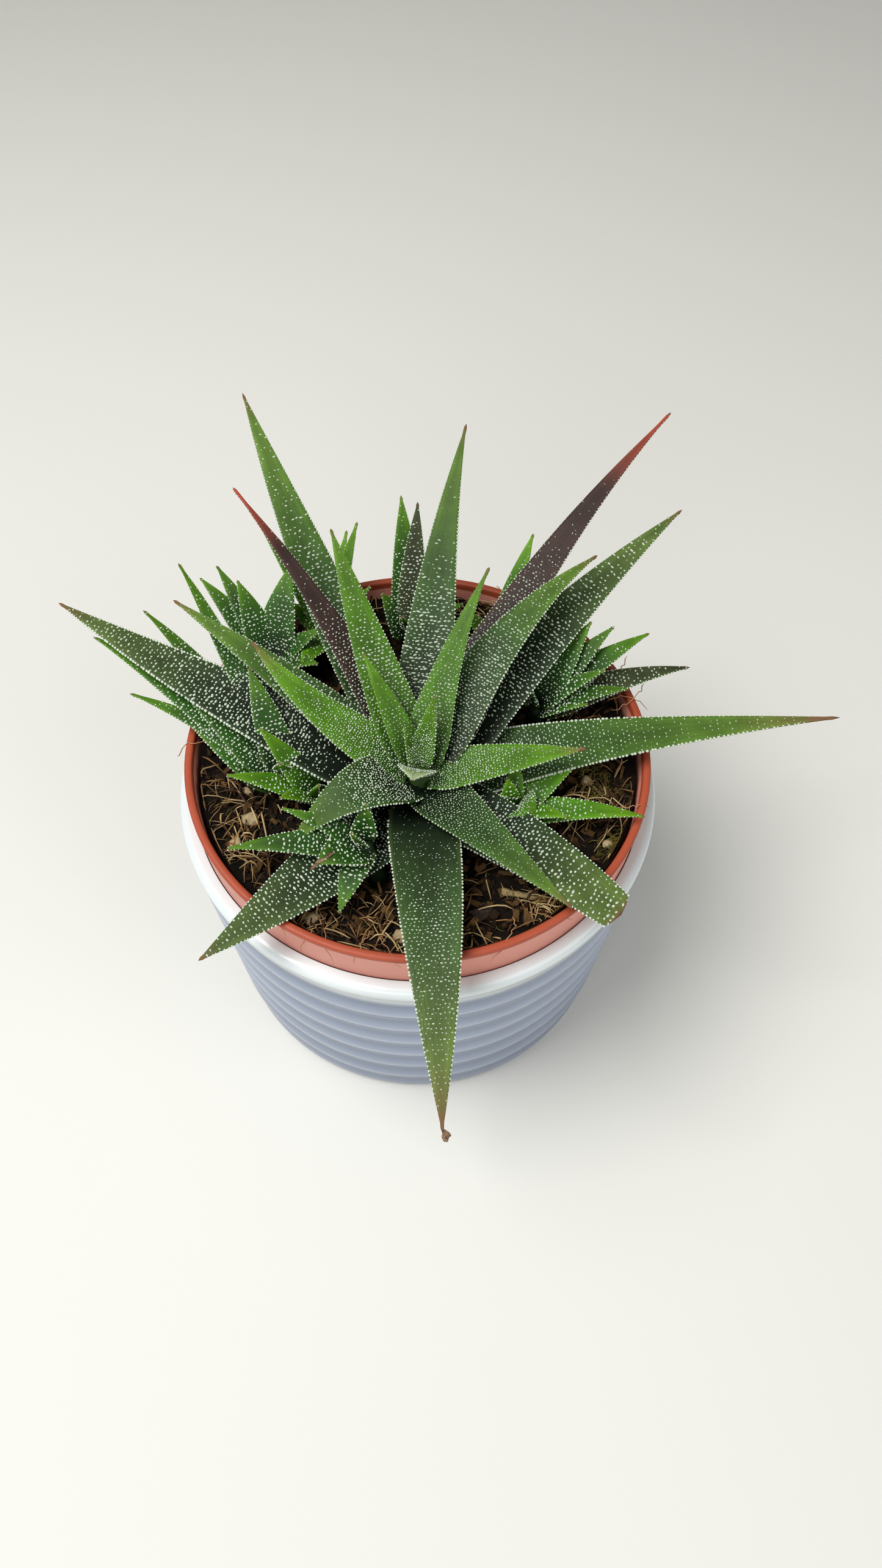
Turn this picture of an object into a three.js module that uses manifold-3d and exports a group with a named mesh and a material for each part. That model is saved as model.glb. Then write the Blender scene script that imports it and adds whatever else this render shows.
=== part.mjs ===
// A potted haworthia: a terracotta plastic nursery pot of soil inside a ribbed ceramic cover pot, with
// one large rosette and nine small offsets round it. Millimetres, +Z up, origin at the centre of the
// foot. -Y is the front, where the long hanging leaf is.
import * as THREE from 'three';
import { mergeVertices } from 'three/addons/utils/BufferGeometryUtils.js';
import Module from 'manifold-3d';

const wasm = await Module();
wasm.setup();

// Driving dimensions
const gap = 0.3; // between pieces that touch on the real plant
const lipRadius = 60; // nursery pot: a 12 cm pot
const lipHeight = 97.5;
const collarRadius = 59.4;
const collarDrop = 13; // from the lip to the step under the collar
const nurseryWall = 1.2;
const nurseryNeck = 57.4; // outer radius under the collar
const nurseryFoot = 45;
const nurseryBottom = 6.3;
const drainHoles = 6;
const drainRadius = 3.5;
const drainCircle = 36;
const coverHeight = 85; // cover pot
const coverRadius = 63.5;
const coverFoot = 58.5;
const coverWall = 3.8;
const coverFloor = 6;
const coverStraight = 14; // straight part of the wall inside the rim
const footChamfer = 2;
const rimBand = 4.4; // smooth band over the first rib
const rimRound = 2.2; // outer rounding of the rim
const rimInner = 0.3; // chamfer on its inner edge
const ribPitch = 11.2;
const ribDepth = 1.1;
const ribCount = 7;
const soilTop = 89; // mean height of the soil
const soilSwell = 1; // how far it rises and falls
const soilRise = 4; // how much higher it is at the wall
const stemRadius = 4.2; // main stem
const stemX = 0;
const stemY = -11;
const stemTop = 15.5; // above the soil
const stemFoot = -14.5; // in the soil
const pupStemRadius = 2.6;
const pupStemFoot = -8.5;
const pupStemTop = 1.5; // over the foot of the offset's lowest leaf
const pupLeafStep = 0.5; // each leaf starts this much higher than the one before
const pupLeafStart = 0.5; // how far from the stem's middle it starts
const pupLeafThick = 0.2; // its keel over its width
const pupLeafArch = 0.08; // its arch over its reach
const stemTaper = 0.75; // width of a stem's crown over its foot
const mainLeafStart = 1.68; // how far from the main stem's middle a leaf starts
const mainLeafThick = 0.22; // its keel over its width
const bladeEdge = 0.7; // thickness at a leaf's margins
const tipWidth = 0.8;
const leafFoot = 0.7; // width of a leaf's foot, as a share of its full width
const fullWidthAt = 0.2; // share of the length where a leaf without its own `fullAt` is full width
const taperPower = 1.6; // how late a leaf narrows, where it has no `late` of its own
const keelPower = 0.7; // how evenly the keel thins to the tip
const channelDepth = 0.16; // depth of the upper face's channel over its half width
const leafSteps = 8; // steps along a main leaf
const leafRelief = 0.3; // height of the tubercles
const pupSteps = 4; // steps along an offset's leaf
const roundSegments = 32;

const looks = {
  ceramic: { color: 0xa2aac0, roughness: 0.3 },
  plastic: { color: 0xb9553c, roughness: 0.5 },
  soil: { color: 0x33251b, roughness: 1 },
  stem: { color: 0x54633a, roughness: 0.8 },
  oldLeaf: { color: 0x2a3a2c, roughness: 0.6 },
  matureLeaf: { color: 0x3c6e32, roughness: 0.55 },
  youngLeaf: { color: 0x6ba52c, roughness: 0.5 },
  purpleLeaf: { color: 0x4b3b3b, roughness: 0.55 },
  pup: { color: 0x4b8c30, roughness: 0.55 },
  pebble: { color: 0xcdbf9c, roughness: 0.9 },
  bark: { color: 0x2c221c, roughness: 0.95 },
  stick: { color: 0xa8946a, roughness: 0.9 },
};

const plant = new THREE.Group();

function addPiece(name, geometry, look) {
  const material = new THREE.MeshStandardMaterial({ ...looks[look], metalness: 0 });
  const mesh = new THREE.Mesh(geometry, material);
  mesh.name = name;
  plant.add(mesh);
}

// Solids for joins and cuts

function toSolid(geometry) {
  const bare = geometry.clone();
  bare.deleteAttribute('normal');
  bare.deleteAttribute('uv');
  const merged = mergeVertices(bare, 1e-4);
  const vertProperties = Float32Array.from(merged.attributes.position.array);
  const triVerts = Uint32Array.from(merged.index.array);
  return new wasm.Manifold(new wasm.Mesh({ numProp: 3, vertProperties, triVerts }));
}

function toGeometry(solid) {
  const { vertProperties, triVerts } = solid.getMesh();
  const geometry = new THREE.BufferGeometry();
  geometry.setAttribute('position', new THREE.BufferAttribute(vertProperties, 3));
  geometry.setIndex(new THREE.BufferAttribute(triVerts, 1));
  return geometry;
}

// Keeps the largest connected body of a mesh, so that a cut leaves no loose scrap.
function largestBody(geometry) {
  const index = geometry.index.array;
  const parent = Array.from({ length: geometry.attributes.position.count }, (_, i) => i);
  const find = (i) => {
    while (parent[i] !== i) {
      parent[i] = parent[parent[i]];
      i = parent[i];
    }
    return i;
  };
  for (let k = 0; k < index.length; k += 3) {
    parent[find(index[k])] = find(index[k + 1]);
    parent[find(index[k + 1])] = find(index[k + 2]);
  }
  const sizes = new Map();
  for (let k = 0; k < index.length; k += 3) {
    const root = find(index[k]);
    sizes.set(root, (sizes.get(root) ?? 0) + 1);
  }
  const [keeper] = [...sizes.entries()].reduce((a, b) => (b[1] > a[1] ? b : a));
  const kept = [];
  for (let k = 0; k < index.length; k += 3) {
    if (find(index[k]) === keeper) {
      kept.push(index[k], index[k + 1], index[k + 2]);
    }
  }
  geometry.setIndex(kept);
  return geometry;
}

// A closed skin over rings of points: side walls between rings and a fan on each end.
function skinRings(rings) {
  const sides = rings[0].length;
  const points = rings.flat();
  const triangles = [];
  for (let r = 0; r + 1 < rings.length; r += 1) {
    for (let s = 0; s < sides; s += 1) {
      const a = r * sides + s;
      const b = r * sides + ((s + 1) % sides);
      triangles.push(a, b, a + sides, b, b + sides, a + sides);
    }
  }
  const addCap = (ring, first, flip) => {
    const centre = new THREE.Vector3();
    ring.forEach((p) => centre.addScaledVector(p, 1 / sides));
    points.push(centre);
    const hub = points.length - 1;
    for (let s = 0; s < sides; s += 1) {
      const a = first + s;
      const b = first + ((s + 1) % sides);
      triangles.push(...(flip ? [b, a, hub] : [a, b, hub]));
    }
  };
  addCap(rings[0], 0, true);
  addCap(rings[rings.length - 1], (rings.length - 1) * sides, false);
  const geometry = new THREE.BufferGeometry().setFromPoints(points);
  geometry.setIndex(triangles);
  return geometry;
}

// Leaves

const up = new THREE.Vector3(0, 0, 1);
const radians = THREE.MathUtils.degToRad;

// The midrib is a curve through three points: the base on the stem, the middle, and the tip.
// heading: where the tip points, degrees from +X. reach: how far out the tip is. climb: the tip's
// height over the base. arch and sway: how far the middle stands above and to the left of a straight leaf.
// bow: how far along the leaf its bend is, where that isn't the middle.
function midribOf(leaf, root) {
  const out = new THREE.Vector3(Math.cos(radians(leaf.heading)), Math.sin(radians(leaf.heading)), 0);
  const left = new THREE.Vector3(-out.y, out.x, 0);
  const base = new THREE.Vector3(root.x, root.y, soilTop + leaf.from).addScaledVector(out, leaf.start);
  const tip = new THREE.Vector3(root.x, root.y, soilTop + leaf.from + leaf.climb);
  tip.addScaledVector(out, leaf.reach);
  const handle = base.clone().lerp(tip, leaf.bow ?? 0.5);
  handle.addScaledVector(up, 2 * leaf.arch).addScaledVector(left, 2 * (leaf.sway ?? 0));
  return new THREE.QuadraticBezierCurve3(base, handle, tip);
}

// Half width along the leaf: narrower at the foot, full at `fullAt`, and a taper to the tip. `late` is
// the taper's power. A blunt leaf has lost its tip, and `intact` is the share of it that is left.
function halfWidthAt(t, leaf) {
  const toFull = Math.min(1, t / (leaf.fullAt ?? fullWidthAt));
  const swell = leafFoot + (1 - leafFoot) * Math.sin((Math.PI / 2) * toFull);
  const taper = 1 - Math.pow(t * (leaf.intact ?? 1), leaf.late ?? taperPower);
  return Math.max(tipWidth / 2, (leaf.width / 2) * swell * taper);
}

// Points across the two faces of a blade, as shares of its half width: the upper face is channelled and
// the lower one keeled. Main leaves have five on each face and offsets three.
const fineAcross = [1, 0.5, 0, -0.5, -1];
const coarseAcross = [1, 0, -1];

// The tubercles are relief: every second grid point of both faces stands up by leafRelief. A cutter is
// the same leaf, larger all round by the gap and the relief.
function leafSolid(leaf, root, grow, steps, across) {
  const midrib = midribOf(leaf, root);
  const extra = grow > 0 ? grow + leafRelief : 0;
  const rings = [];
  for (let k = 0; k <= steps; k += 1) {
    const t = k / steps;
    const along = midrib.getTangent(t);
    const centre = midrib.getPoint(t).addScaledVector(along, extra * (2 * t - 1));
    const side = up.clone().cross(along).normalize();
    const face = along.clone().cross(side).normalize();
    const half = halfWidthAt(t, leaf);
    const keel = leaf.thick * Math.pow(1 - t, keelPower);
    const channel = channelDepth * half * (1 - t);
    const fade = grow > 0 ? 0 : Math.min(1, 6 * t) * Math.min(1, 2.5 * (1 - t));
    const rise = (i) => extra + leafRelief * fade * ((i + k) % 2);
    const pointAt = (u, height) => (
      centre.clone().addScaledVector(side, u * (half + extra)).addScaledVector(face, height)
    );
    const upper = across.map((u, i) => pointAt(u, bladeEdge / 2 - channel * (1 - u * u) + rise(i)));
    const lower = across.map((u, i) => pointAt(-u, -bladeEdge / 2 - keel * (1 - Math.abs(u)) - rise(i)));
    rings.push([...upper, ...lower]);
  }
  return toSolid(skinRings(rings));
}

// Main rosette, from the oldest leaf at the foot to the youngest at the top. Angles in degrees, heading
// 0 is +X and 90 is the back; `from` is the height of the leaf's foot over the soil.
const mainRoot = { x: stemX, y: stemY };
const mainLeaves = [
  { name: 'front_left_low', look: 'oldLeaf', heading: -136, reach: 70,
    from: 3.5, climb: 6, arch: 2.5, sway: 1.5, width: 22, late: 1.8 },
  { name: 'front_right_blunt', look: 'oldLeaf', heading: -40, reach: 61,
    from: 5.5, climb: 6, arch: 4, width: 18.5, intact: 0.65, late: 1.8 },
  { name: 'left_long', look: 'oldLeaf', heading: 152, reach: 109,
    from: 7, climb: 12.5, arch: 3.5, sway: 3.5, width: 22, thick: 3.6, late: 1.5 },
  { name: 'front_hanging', look: 'matureLeaf', heading: -87, reach: 86,
    from: 6.5, climb: -5, arch: 10, sway: 0.5, width: 18, late: 2.1 },
  { name: 'right_long', look: 'matureLeaf', heading: 6, reach: 107,
    from: 7.5, climb: 12, arch: 0.5, sway: 4.5, bow: 0.25, width: 20.5, late: 1.7 },
  { name: 'back_left_tall', look: 'matureLeaf', heading: 114.8, reach: 113,
    from: 6, climb: 41, arch: 0, sway: 1.5, width: 15.5, late: 2, fullAt: 0.6 },
  { name: 'back_right_dark', look: 'oldLeaf', heading: 44, reach: 99,
    from: 7.5, climb: 28, arch: 1, sway: 3, width: 18.5, late: 1.8 },
  { name: 'back_left_purple', look: 'purpleLeaf', heading: 126.4, reach: 78,
    from: 12, climb: 37, arch: 0, sway: -2.5, width: 13, late: 1 },
  { name: 'back_right_purple', look: 'purpleLeaf', heading: 52, reach: 109,
    from: 9.5, climb: 44, arch: 0, sway: 5, width: 19, late: 0.95 },
  { name: 'back_tall', look: 'matureLeaf', heading: 81, reach: 85,
    from: 9.5, climb: 42, arch: 2, sway: 2, width: 19, late: 1.1 },
  { name: 'left_behind', look: 'matureLeaf', heading: 144, reach: 79,
    from: 9.5, climb: 16, arch: 2, width: 14 },
  { name: 'front_right', look: 'matureLeaf', heading: -47, reach: 52,
    from: 10.5, climb: 2, arch: 5, sway: -2, width: 17, late: 1.15 },
  { name: 'right_curved', look: 'matureLeaf', heading: 48, reach: 70,
    from: 11.5, climb: 24, arch: 5, sway: 3.5, width: 16.5, late: 1.4 },
  { name: 'front_left_curled', look: 'matureLeaf', heading: -150, reach: 36,
    from: 11.5, climb: -3, arch: 9, width: 18 },
  { name: 'back_left_bright', look: 'youngLeaf', heading: 112, reach: 58,
    from: 12.5, climb: 31, arch: 3, sway: 1, width: 13.5 },
  { name: 'right_short', look: 'youngLeaf', heading: 1, reach: 41,
    from: 12.5, climb: 9, arch: 1, width: 13, late: 1.7 },
  { name: 'left_bright', look: 'youngLeaf', heading: 144, reach: 52,
    from: 13.5, climb: 14, arch: 2, sway: 4, width: 15.5, late: 1.2 },
  { name: 'back_right_upright', look: 'youngLeaf', heading: 66, reach: 44,
    from: 14.5, climb: 29, arch: 1, sway: 1.5, width: 14, late: 0.9 },
  { name: 'back_left_small', look: 'youngLeaf', heading: 122, reach: 25,
    from: 15.5, climb: 18, arch: 1, width: 8 },
];

// Offsets: a stem that stands in the soil at x, y and leans by `lean` to its crown, and its own leaves,
// each [heading, reach, climb, width], from the lowest to the highest, and the arch of one that curls.
const pups = [
  { name: 'left', x: -34, y: -7, from: 5, leaves: [
    [152, 30, 7, 17], [143, 67, 8, 12], [152, 47, 6, 7],
    [140, 40, 8, 14], [129, 67, 4, 8], [112, 24, 15, 10], [117, 72, 9, 7]] },
  { name: 'left_middle', x: -26, y: -12, from: 4.5, leaves: [
    [178, 22, 8, 8], [215, 10, 7, 7], [143, 17, 14, 9]] },
  { name: 'back_left', x: -40, y: 30, from: 5, leaves: [
    [134, 28.5, 13, 9], [65, 15, 8, 8], [122, 29.5, 12, 8], [15, 15, 9, 9],
    [-25, 15, 6, 10], [119, 17.5, 15, 10], [73, 20.5, 16, 12]] },
  { name: 'back_left_far', x: -24, y: 41, from: 5, leaves: [
    [160, 15, 8, 9], [30, 13, 12, 8], [130, 32, 20, 9], [-65, 27, 4, 12], [-112, 19, 5, 11],
    [75, 19, 19.5, 6], [68, 21, 21, 6]] },
  { name: 'back', x: -2, y: 41, from: 5, leaves: [
    [142, 10, 10, 11], [10, 15, 9, 9], [45, 18, 17, 7], [95, 25, 27, 10], [84, 23, 26, 9]] },
  { name: 'back_right', x: 22, y: 36, from: 5, leaves: [
    [5, 15, 8, 9], [150, 11, 9, 8], [51, 26, 13, 10], [66, 25, 19.5, 8]] },
  { name: 'right', x: 32, y: 14, from: 5, leaves: [
    [12, 42, 7, 11], [95, 16, 10, 9], [-20, 13, 7, 8], [-5, 23, 10, 8], [24, 32, 14, 10],
    [35, 24, 15.5, 9], [7, 17, 11.5, 7], [47, 20, 15.5, 10]] },
  { name: 'right_front', x: 23, y: -18, from: 4.5, leaves: [
    [-10, 33, 7, 9], [30, 20, 7, 9], [-75, 17, 6, 8], [80, 10, 8, 7], [-28, 15, 7, 7], [-43, 8, 1, 12, 5]] },
  { name: 'front_left', x: -8, y: -35, lean: [-5.5, 5], from: 9.5, leaves: [
    [182, 33, 1, 9], [252, 18, -3, 9], [160, 21, 5, 6], [212, 13, 2, 13], [80, 6, 8, 7]] },
];

// Pebbles half sunk in the soil: [x, y, radius].
const pebbles = [
  [-43, -17, 2.1], [-46, -25, 1.9], [-26, -46, 2.2], [-4, -51, 2.4], [-44, -9, 1.5], [44, -7, 1.8],
  [47, -27, 1.6],
];
const pebbleForm = { breadth: 0.85, height: 0.7, lift: 0.2 }; // shares of its radius
const barkChip = { x: 15, y: -45, length: 6, width: 3.4, height: 2.2, turn: 35, tilt: 11.5, lift: 0.4 };
const stick = { x: 24.2, y: -40, length: 8.5, radius: 0.9, thinEnd: 0.72, turn: -13, lift: 0.45 };

// The soil's surface: a slow swell and a finer crumble, dished up to the wall.
function soilHeightAt(x, y) {
  const swell = Math.sin(x / 9 + 1.3) * Math.cos(y / 11 - 0.4) + 0.45 * Math.sin(x / 3.7 - y / 4.3);
  const dish = Math.pow(Math.min(1, Math.hypot(x, y) / collarInner), 5);
  return soilTop + soilSwell * swell + soilRise * dish;
}

// Wheel-turned bodies

function turned(outline, segments) {
  const profile = outline.map(([r, z]) => new THREE.Vector2(r, z));
  const geometry = new THREE.LatheGeometry(profile, segments);
  return geometry.rotateX(Math.PI / 2);
}

function coverPotSolid() {
  const sideAt = (z) => coverFoot + (coverRadius - coverFoot) * (z / coverHeight);
  const outline = [[0, 0], [coverFoot - footChamfer, 0]];
  const firstGroove = coverHeight - rimBand - ribPitch / 2;
  for (let k = ribCount - 1; k >= 0; k -= 1) {
    const groove = firstGroove - k * ribPitch;
    outline.push([sideAt(groove) - ribDepth, groove]);
    outline.push([sideAt(groove + ribPitch / 2), groove + ribPitch / 2]);
  }
  for (let k = 0; k <= 2; k += 1) {
    const turn = (Math.PI * k) / 4;
    outline.push([
      coverRadius - rimRound * (1 - Math.cos(turn)), coverHeight - rimRound * (1 - Math.sin(turn)),
    ]);
  }
  outline.push([coverRadius - coverWall + rimInner, coverHeight]);
  outline.push([coverRadius - coverWall, coverHeight - rimInner]);
  outline.push([coverRadius - coverWall, coverHeight - coverStraight]);
  outline.push([coverFoot - coverWall - 1, coverFloor + 6]);
  outline.push([coverFoot - coverWall - 7, coverFloor]);
  outline.push([0, coverFloor]);
  return toSolid(turned(outline, roundSegments));
}

const nurseryFloorTop = nurseryBottom + nurseryWall;
const collarInner = collarRadius - nurseryWall - 0.8;
const collarStep = lipHeight - collarDrop;

function nurseryInnerAt(z) {
  const rise = (z - nurseryBottom) / (collarStep - nurseryBottom);
  return nurseryFoot + (nurseryNeck - nurseryFoot) * Math.min(1, rise) - nurseryWall;
}

function nurseryPotSolid() {
  const outline = [
    [0, nurseryBottom], [nurseryFoot, nurseryBottom], [nurseryNeck, collarStep],
    [collarRadius - 0.4, collarStep], [collarRadius, lipHeight - 2],
    [lipRadius, lipHeight - 1.6], [lipRadius, lipHeight - 0.4],
    [lipRadius - 0.5, lipHeight], [lipRadius - 1.6, lipHeight], [lipRadius - 2, lipHeight - 0.6],
    [collarInner, collarStep + 1], [nurseryInnerAt(collarStep), collarStep - 0.6],
    [nurseryFoot - nurseryWall, nurseryFloorTop], [0, nurseryFloorTop],
  ];
  let pot = toSolid(turned(outline, roundSegments));
  for (let k = 0; k < drainHoles; k += 1) {
    const turn = (2 * Math.PI * k) / drainHoles;
    const hole = new THREE.CylinderGeometry(drainRadius, drainRadius, 4 * nurseryWall, 6);
    hole.rotateX(Math.PI / 2);
    hole.translate(drainCircle * Math.cos(turn), drainCircle * Math.sin(turn), nurseryBottom);
    pot = pot.subtract(toSolid(hole));
  }
  return pot;
}

function soilSolid() {
  const segments = 22;
  const radii = [0.4, 0.75, 1]; // rings on the top, as shares of its edge
  const wallClear = 2 * gap;
  const edge = collarInner - wallClear;
  const ringAt = (radius, height) => Array.from({ length: segments }, (_, s) => {
    const turn = (2 * Math.PI * s) / segments;
    const x = radius * Math.cos(turn);
    const y = radius * Math.sin(turn);
    return new THREE.Vector3(x, y, height ?? soilHeightAt(x, y));
  });
  const rings = [ringAt(nurseryFoot - nurseryWall - 2 * wallClear, nurseryFloorTop + gap)];
  rings.push(ringAt(nurseryInnerAt(collarStep) - wallClear, collarStep - 1));
  rings.push(ringAt(edge, collarStep + 2));
  [...radii].reverse().forEach((share) => rings.push(ringAt(edge * share)));
  return toSolid(skinRings(rings));
}

function pebbleSolid([x, y, radius], grow) {
  const stone = new THREE.DodecahedronGeometry(radius + grow, 0);
  stone.scale(1, pebbleForm.breadth, pebbleForm.height);
  stone.rotateZ(x + y);
  stone.translate(x, y, soilHeightAt(x, y) + pebbleForm.lift * radius);
  return toSolid(stone);
}

function barkSolid(grow) {
  const { length, width, height } = barkChip;
  const chip = new THREE.BoxGeometry(length + 2 * grow, width + 2 * grow, height + 2 * grow);
  chip.rotateY(radians(barkChip.tilt));
  chip.rotateZ(radians(barkChip.turn));
  chip.translate(barkChip.x, barkChip.y, soilHeightAt(barkChip.x, barkChip.y) + barkChip.lift);
  return toSolid(chip);
}

// A short pale stick that lies on the soil.
function stickSolid(grow) {
  const { x, y, length, radius, thinEnd } = stick;
  const rod = new THREE.CylinderGeometry(thinEnd + grow, radius + grow, length + 2 * grow, 6);
  rod.rotateZ(radians(90 + stick.turn));
  rod.translate(x, y, soilHeightAt(x, y) + stick.lift);
  return toSolid(rod);
}

// Stems, a little narrower at the crown.
function stemSolid(foot, crown, radius, grow) {
  const sides = 8;
  const ringAt = (centre, size) => Array.from({ length: sides }, (_, s) => {
    const turn = (2 * Math.PI * s) / sides;
    return new THREE.Vector3(centre.x + size * Math.cos(turn), centre.y + size * Math.sin(turn), centre.z);
  });
  const bottom = foot.clone().addScaledVector(up, -grow);
  const top = crown.clone().addScaledVector(up, grow);
  return toSolid(skinRings([ringAt(bottom, radius + grow), ringAt(top, stemTaper * radius + grow)]));
}

// The bud: small leaves closed over one another, grown on the top of the main stem.
const budLeaves = [
  { heading: -103, reach: 6.8, from: 15, climb: 4, arch: 1.5, width: 11, thick: 2.5, start: 0 },
  { heading: 132, reach: 5.2, from: 15, climb: 12, arch: 0.5, width: 5, thick: 2, start: 0 },
  { heading: 67, reach: 11, from: 15, climb: 16.5, arch: 0.5, width: 7, thick: 2, start: 0 },
];

function mainStemSolid(grow) {
  const foot = new THREE.Vector3(stemX, stemY, soilTop + stemFoot);
  const crown = new THREE.Vector3(stemX, stemY, soilTop + stemTop);
  let stem = stemSolid(foot, crown, stemRadius, grow);
  budLeaves.forEach((leaf) => {
    stem = stem.add(leafSolid(leaf, mainRoot, grow, pupSteps, coarseAcross));
  });
  return stem;
}

// The youngest leaf of each offset stands at its centre, turned away from the leaf before it.
const heart = { turn: 150, reach: 3.5, climb: 8, width: 6 };

function pupSolid(pup, grow) {
  const [leanX, leanY] = pup.lean ?? [0, 0];
  const foot = new THREE.Vector3(pup.x, pup.y, soilTop + pupStemFoot);
  const crown = new THREE.Vector3(pup.x + leanX, pup.y + leanY, soilTop + pup.from + pupStemTop);
  const [lastHeading] = pup.leaves[pup.leaves.length - 1];
  const leaves = [...pup.leaves, [lastHeading + heart.turn, heart.reach, heart.climb, heart.width]];
  let whole = stemSolid(foot, crown, pupStemRadius, grow);
  leaves.forEach(([heading, reach, climb, width, arch = pupLeafArch * reach], k) => {
    const from = pup.from + pupLeafStep * k;
    const shape = {
      heading, reach, climb, width, from, arch, thick: pupLeafThick * width, start: pupLeafStart,
    };
    whole = whole.add(leafSolid(shape, crown, grow, pupSteps, coarseAcross));
  });
  return whole;
}

// Each piece is cut clear of those placed before it, which keeps the gap between them.
const cutters = [];

function placeClear(name, look, makeSolid) {
  let solid = makeSolid(0);
  cutters.forEach((cutter) => {
    solid = solid.subtract(cutter);
  });
  addPiece(name, largestBody(toGeometry(solid)), look);
  cutters.push(makeSolid(gap));
}

// The leaves that pass over the lip stay clear of it.
const lipClear = [
  [collarInner - gap, collarStep], [lipRadius + gap, collarStep], [lipRadius + gap, lipHeight + gap],
  [collarInner - gap, lipHeight + gap], [collarInner - gap, collarStep],
];
cutters.push(toSolid(turned(lipClear, roundSegments)));

placeClear('main_stem_and_bud', 'stem', mainStemSolid);
[...mainLeaves].reverse().forEach((leaf) => {
  const shape = { thick: mainLeafThick * leaf.width, start: mainLeafStart, ...leaf };
  placeClear(`leaf_${leaf.name}`, leaf.look, (grow) => (
    leafSolid(shape, mainRoot, grow, leafSteps, grow > 0 ? coarseAcross : fineAcross)
  ));
});
pups.forEach((pup) => placeClear(`offset_${pup.name}`, 'pup', (grow) => pupSolid(pup, grow)));
pebbles.forEach((pebble, k) => placeClear(`pebble_${k + 1}`, 'pebble', (grow) => pebbleSolid(pebble, grow)));
placeClear('bark_chip', 'bark', barkSolid);
placeClear('pale_stick', 'stick', stickSolid);
placeClear('soil', 'soil', soilSolid);
addPiece('nursery_pot', toGeometry(nurseryPotSolid()), 'plastic');
addPiece('cover_pot', toGeometry(coverPotSolid()), 'ceramic');

export default plant;
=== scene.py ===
import math
import random

import bmesh
import bpy
from mathutils import Matrix, Vector, noise


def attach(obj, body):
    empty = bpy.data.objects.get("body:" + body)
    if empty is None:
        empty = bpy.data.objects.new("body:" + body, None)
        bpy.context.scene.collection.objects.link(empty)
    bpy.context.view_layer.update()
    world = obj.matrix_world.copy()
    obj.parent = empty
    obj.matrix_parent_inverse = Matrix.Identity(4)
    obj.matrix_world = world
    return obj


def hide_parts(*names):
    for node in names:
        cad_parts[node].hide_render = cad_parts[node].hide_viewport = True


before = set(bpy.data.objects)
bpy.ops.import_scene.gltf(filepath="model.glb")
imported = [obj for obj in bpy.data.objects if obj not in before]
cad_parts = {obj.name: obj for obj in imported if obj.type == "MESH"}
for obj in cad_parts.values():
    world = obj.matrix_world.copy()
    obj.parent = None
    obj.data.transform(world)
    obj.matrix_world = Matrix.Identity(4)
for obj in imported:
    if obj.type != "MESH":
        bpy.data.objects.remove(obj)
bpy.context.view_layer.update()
print("frame loaded:", len(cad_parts), "nodes")

# lengths are millimetres until a piece is finished, then metres
millimetre = 0.001
up = Vector((0, 0, 1))
soilTop = 89
batch = 50  # how many repeats are made together
seeds = {"leaves": 100, "bud": 7, "offsets": 300, "soil": 11, "coir": 40, "hairs": 77, "shreds": 90,
         "noise": 5}
noise.seed_set(seeds["noise"])  # without it noise_vector differs from run to run


def linear(red, green, blue):  # a screen colour, 0 to 255, as the shader wants it
    return tuple(
        (c / 255 / 12.92) if c / 255 <= 0.04045 else ((c / 255 + 0.055) / 1.055) ** 2.4
        for c in (red, green, blue)
    ) + (1.0,)


def addToScene(name, data):
    item = bpy.data.objects.new(name, data)
    bpy.context.scene.collection.objects.link(item)
    return item


def meshObject(name, bm, material=None, smooth=False):
    mesh = bpy.data.meshes.new(name)
    bm.to_mesh(mesh)
    bm.free()
    if material:
        mesh.materials.append(material)
    if smooth:
        mesh.shade_smooth()
    return addToScene(name, mesh)


def toMetres(bm):
    bmesh.ops.transform(bm, matrix=Matrix.Scale(millimetre, 4), verts=bm.verts)


def finishPiece(name, bm, material, nodes=(), smooth=True):
    toMetres(bm)
    piece = meshObject(name, bm, material, smooth)
    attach(piece, "root")
    if nodes:
        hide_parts(*nodes)
    return piece


def pourInto(whole, part):  # small batches, because a large bmesh is slow to add to
    mesh = bpy.data.meshes.new("batch")
    part.to_mesh(mesh)
    part.free()
    whole.from_mesh(mesh)
    bpy.data.meshes.remove(mesh)
    return bmesh.new()


def scatter(count, addBit, rng):
    whole, part = bmesh.new(), bmesh.new()
    for k in range(count):
        if k % batch == batch - 1:
            part = pourInto(whole, part)
        addBit(part, rng)
    pourInto(whole, part).free()
    return whole


def spinProfile(outline, steps):  # a turned body from (radius, height) points on its outline
    bm = bmesh.new()
    points = [bm.verts.new((r, 0, z)) for r, z in outline]
    for a, b in zip(points, points[1:]):
        bm.edges.new((a, b))
    bmesh.ops.spin(bm, geom=bm.verts[:] + bm.edges[:], cent=(0, 0, 0), axis=(0, 0, 1),
                   angle=math.tau, steps=steps, use_merge=True)
    bmesh.ops.remove_doubles(bm, verts=bm.verts, dist=1e-4)
    bmesh.ops.recalc_face_normals(bm, faces=bm.faces)
    return bm


strandEnd = 0.45  # radius of a strand's two ends, as a share of its own


def curvePiece(name, strands, material):  # strands: (points, radius) in mm
    data = bpy.data.curves.new(name, "CURVE")
    data.dimensions = "3D"
    data.bevel_depth = millimetre
    data.bevel_resolution = 1
    data.use_fill_caps = True
    for points, radius in strands:
        spline = data.splines.new("POLY")
        spline.points.add(len(points) - 1)
        for k, (spot, knot) in enumerate(zip(points, spline.points)):
            knot.co = (*(Vector(spot) * millimetre), 1)
            knot.radius = radius * (strandEnd if k in (0, len(points) - 1) else 1.0)
        spline.use_smooth = True
    data.materials.append(material)
    piece = addToScene(name, data)
    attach(piece, "root")


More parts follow.
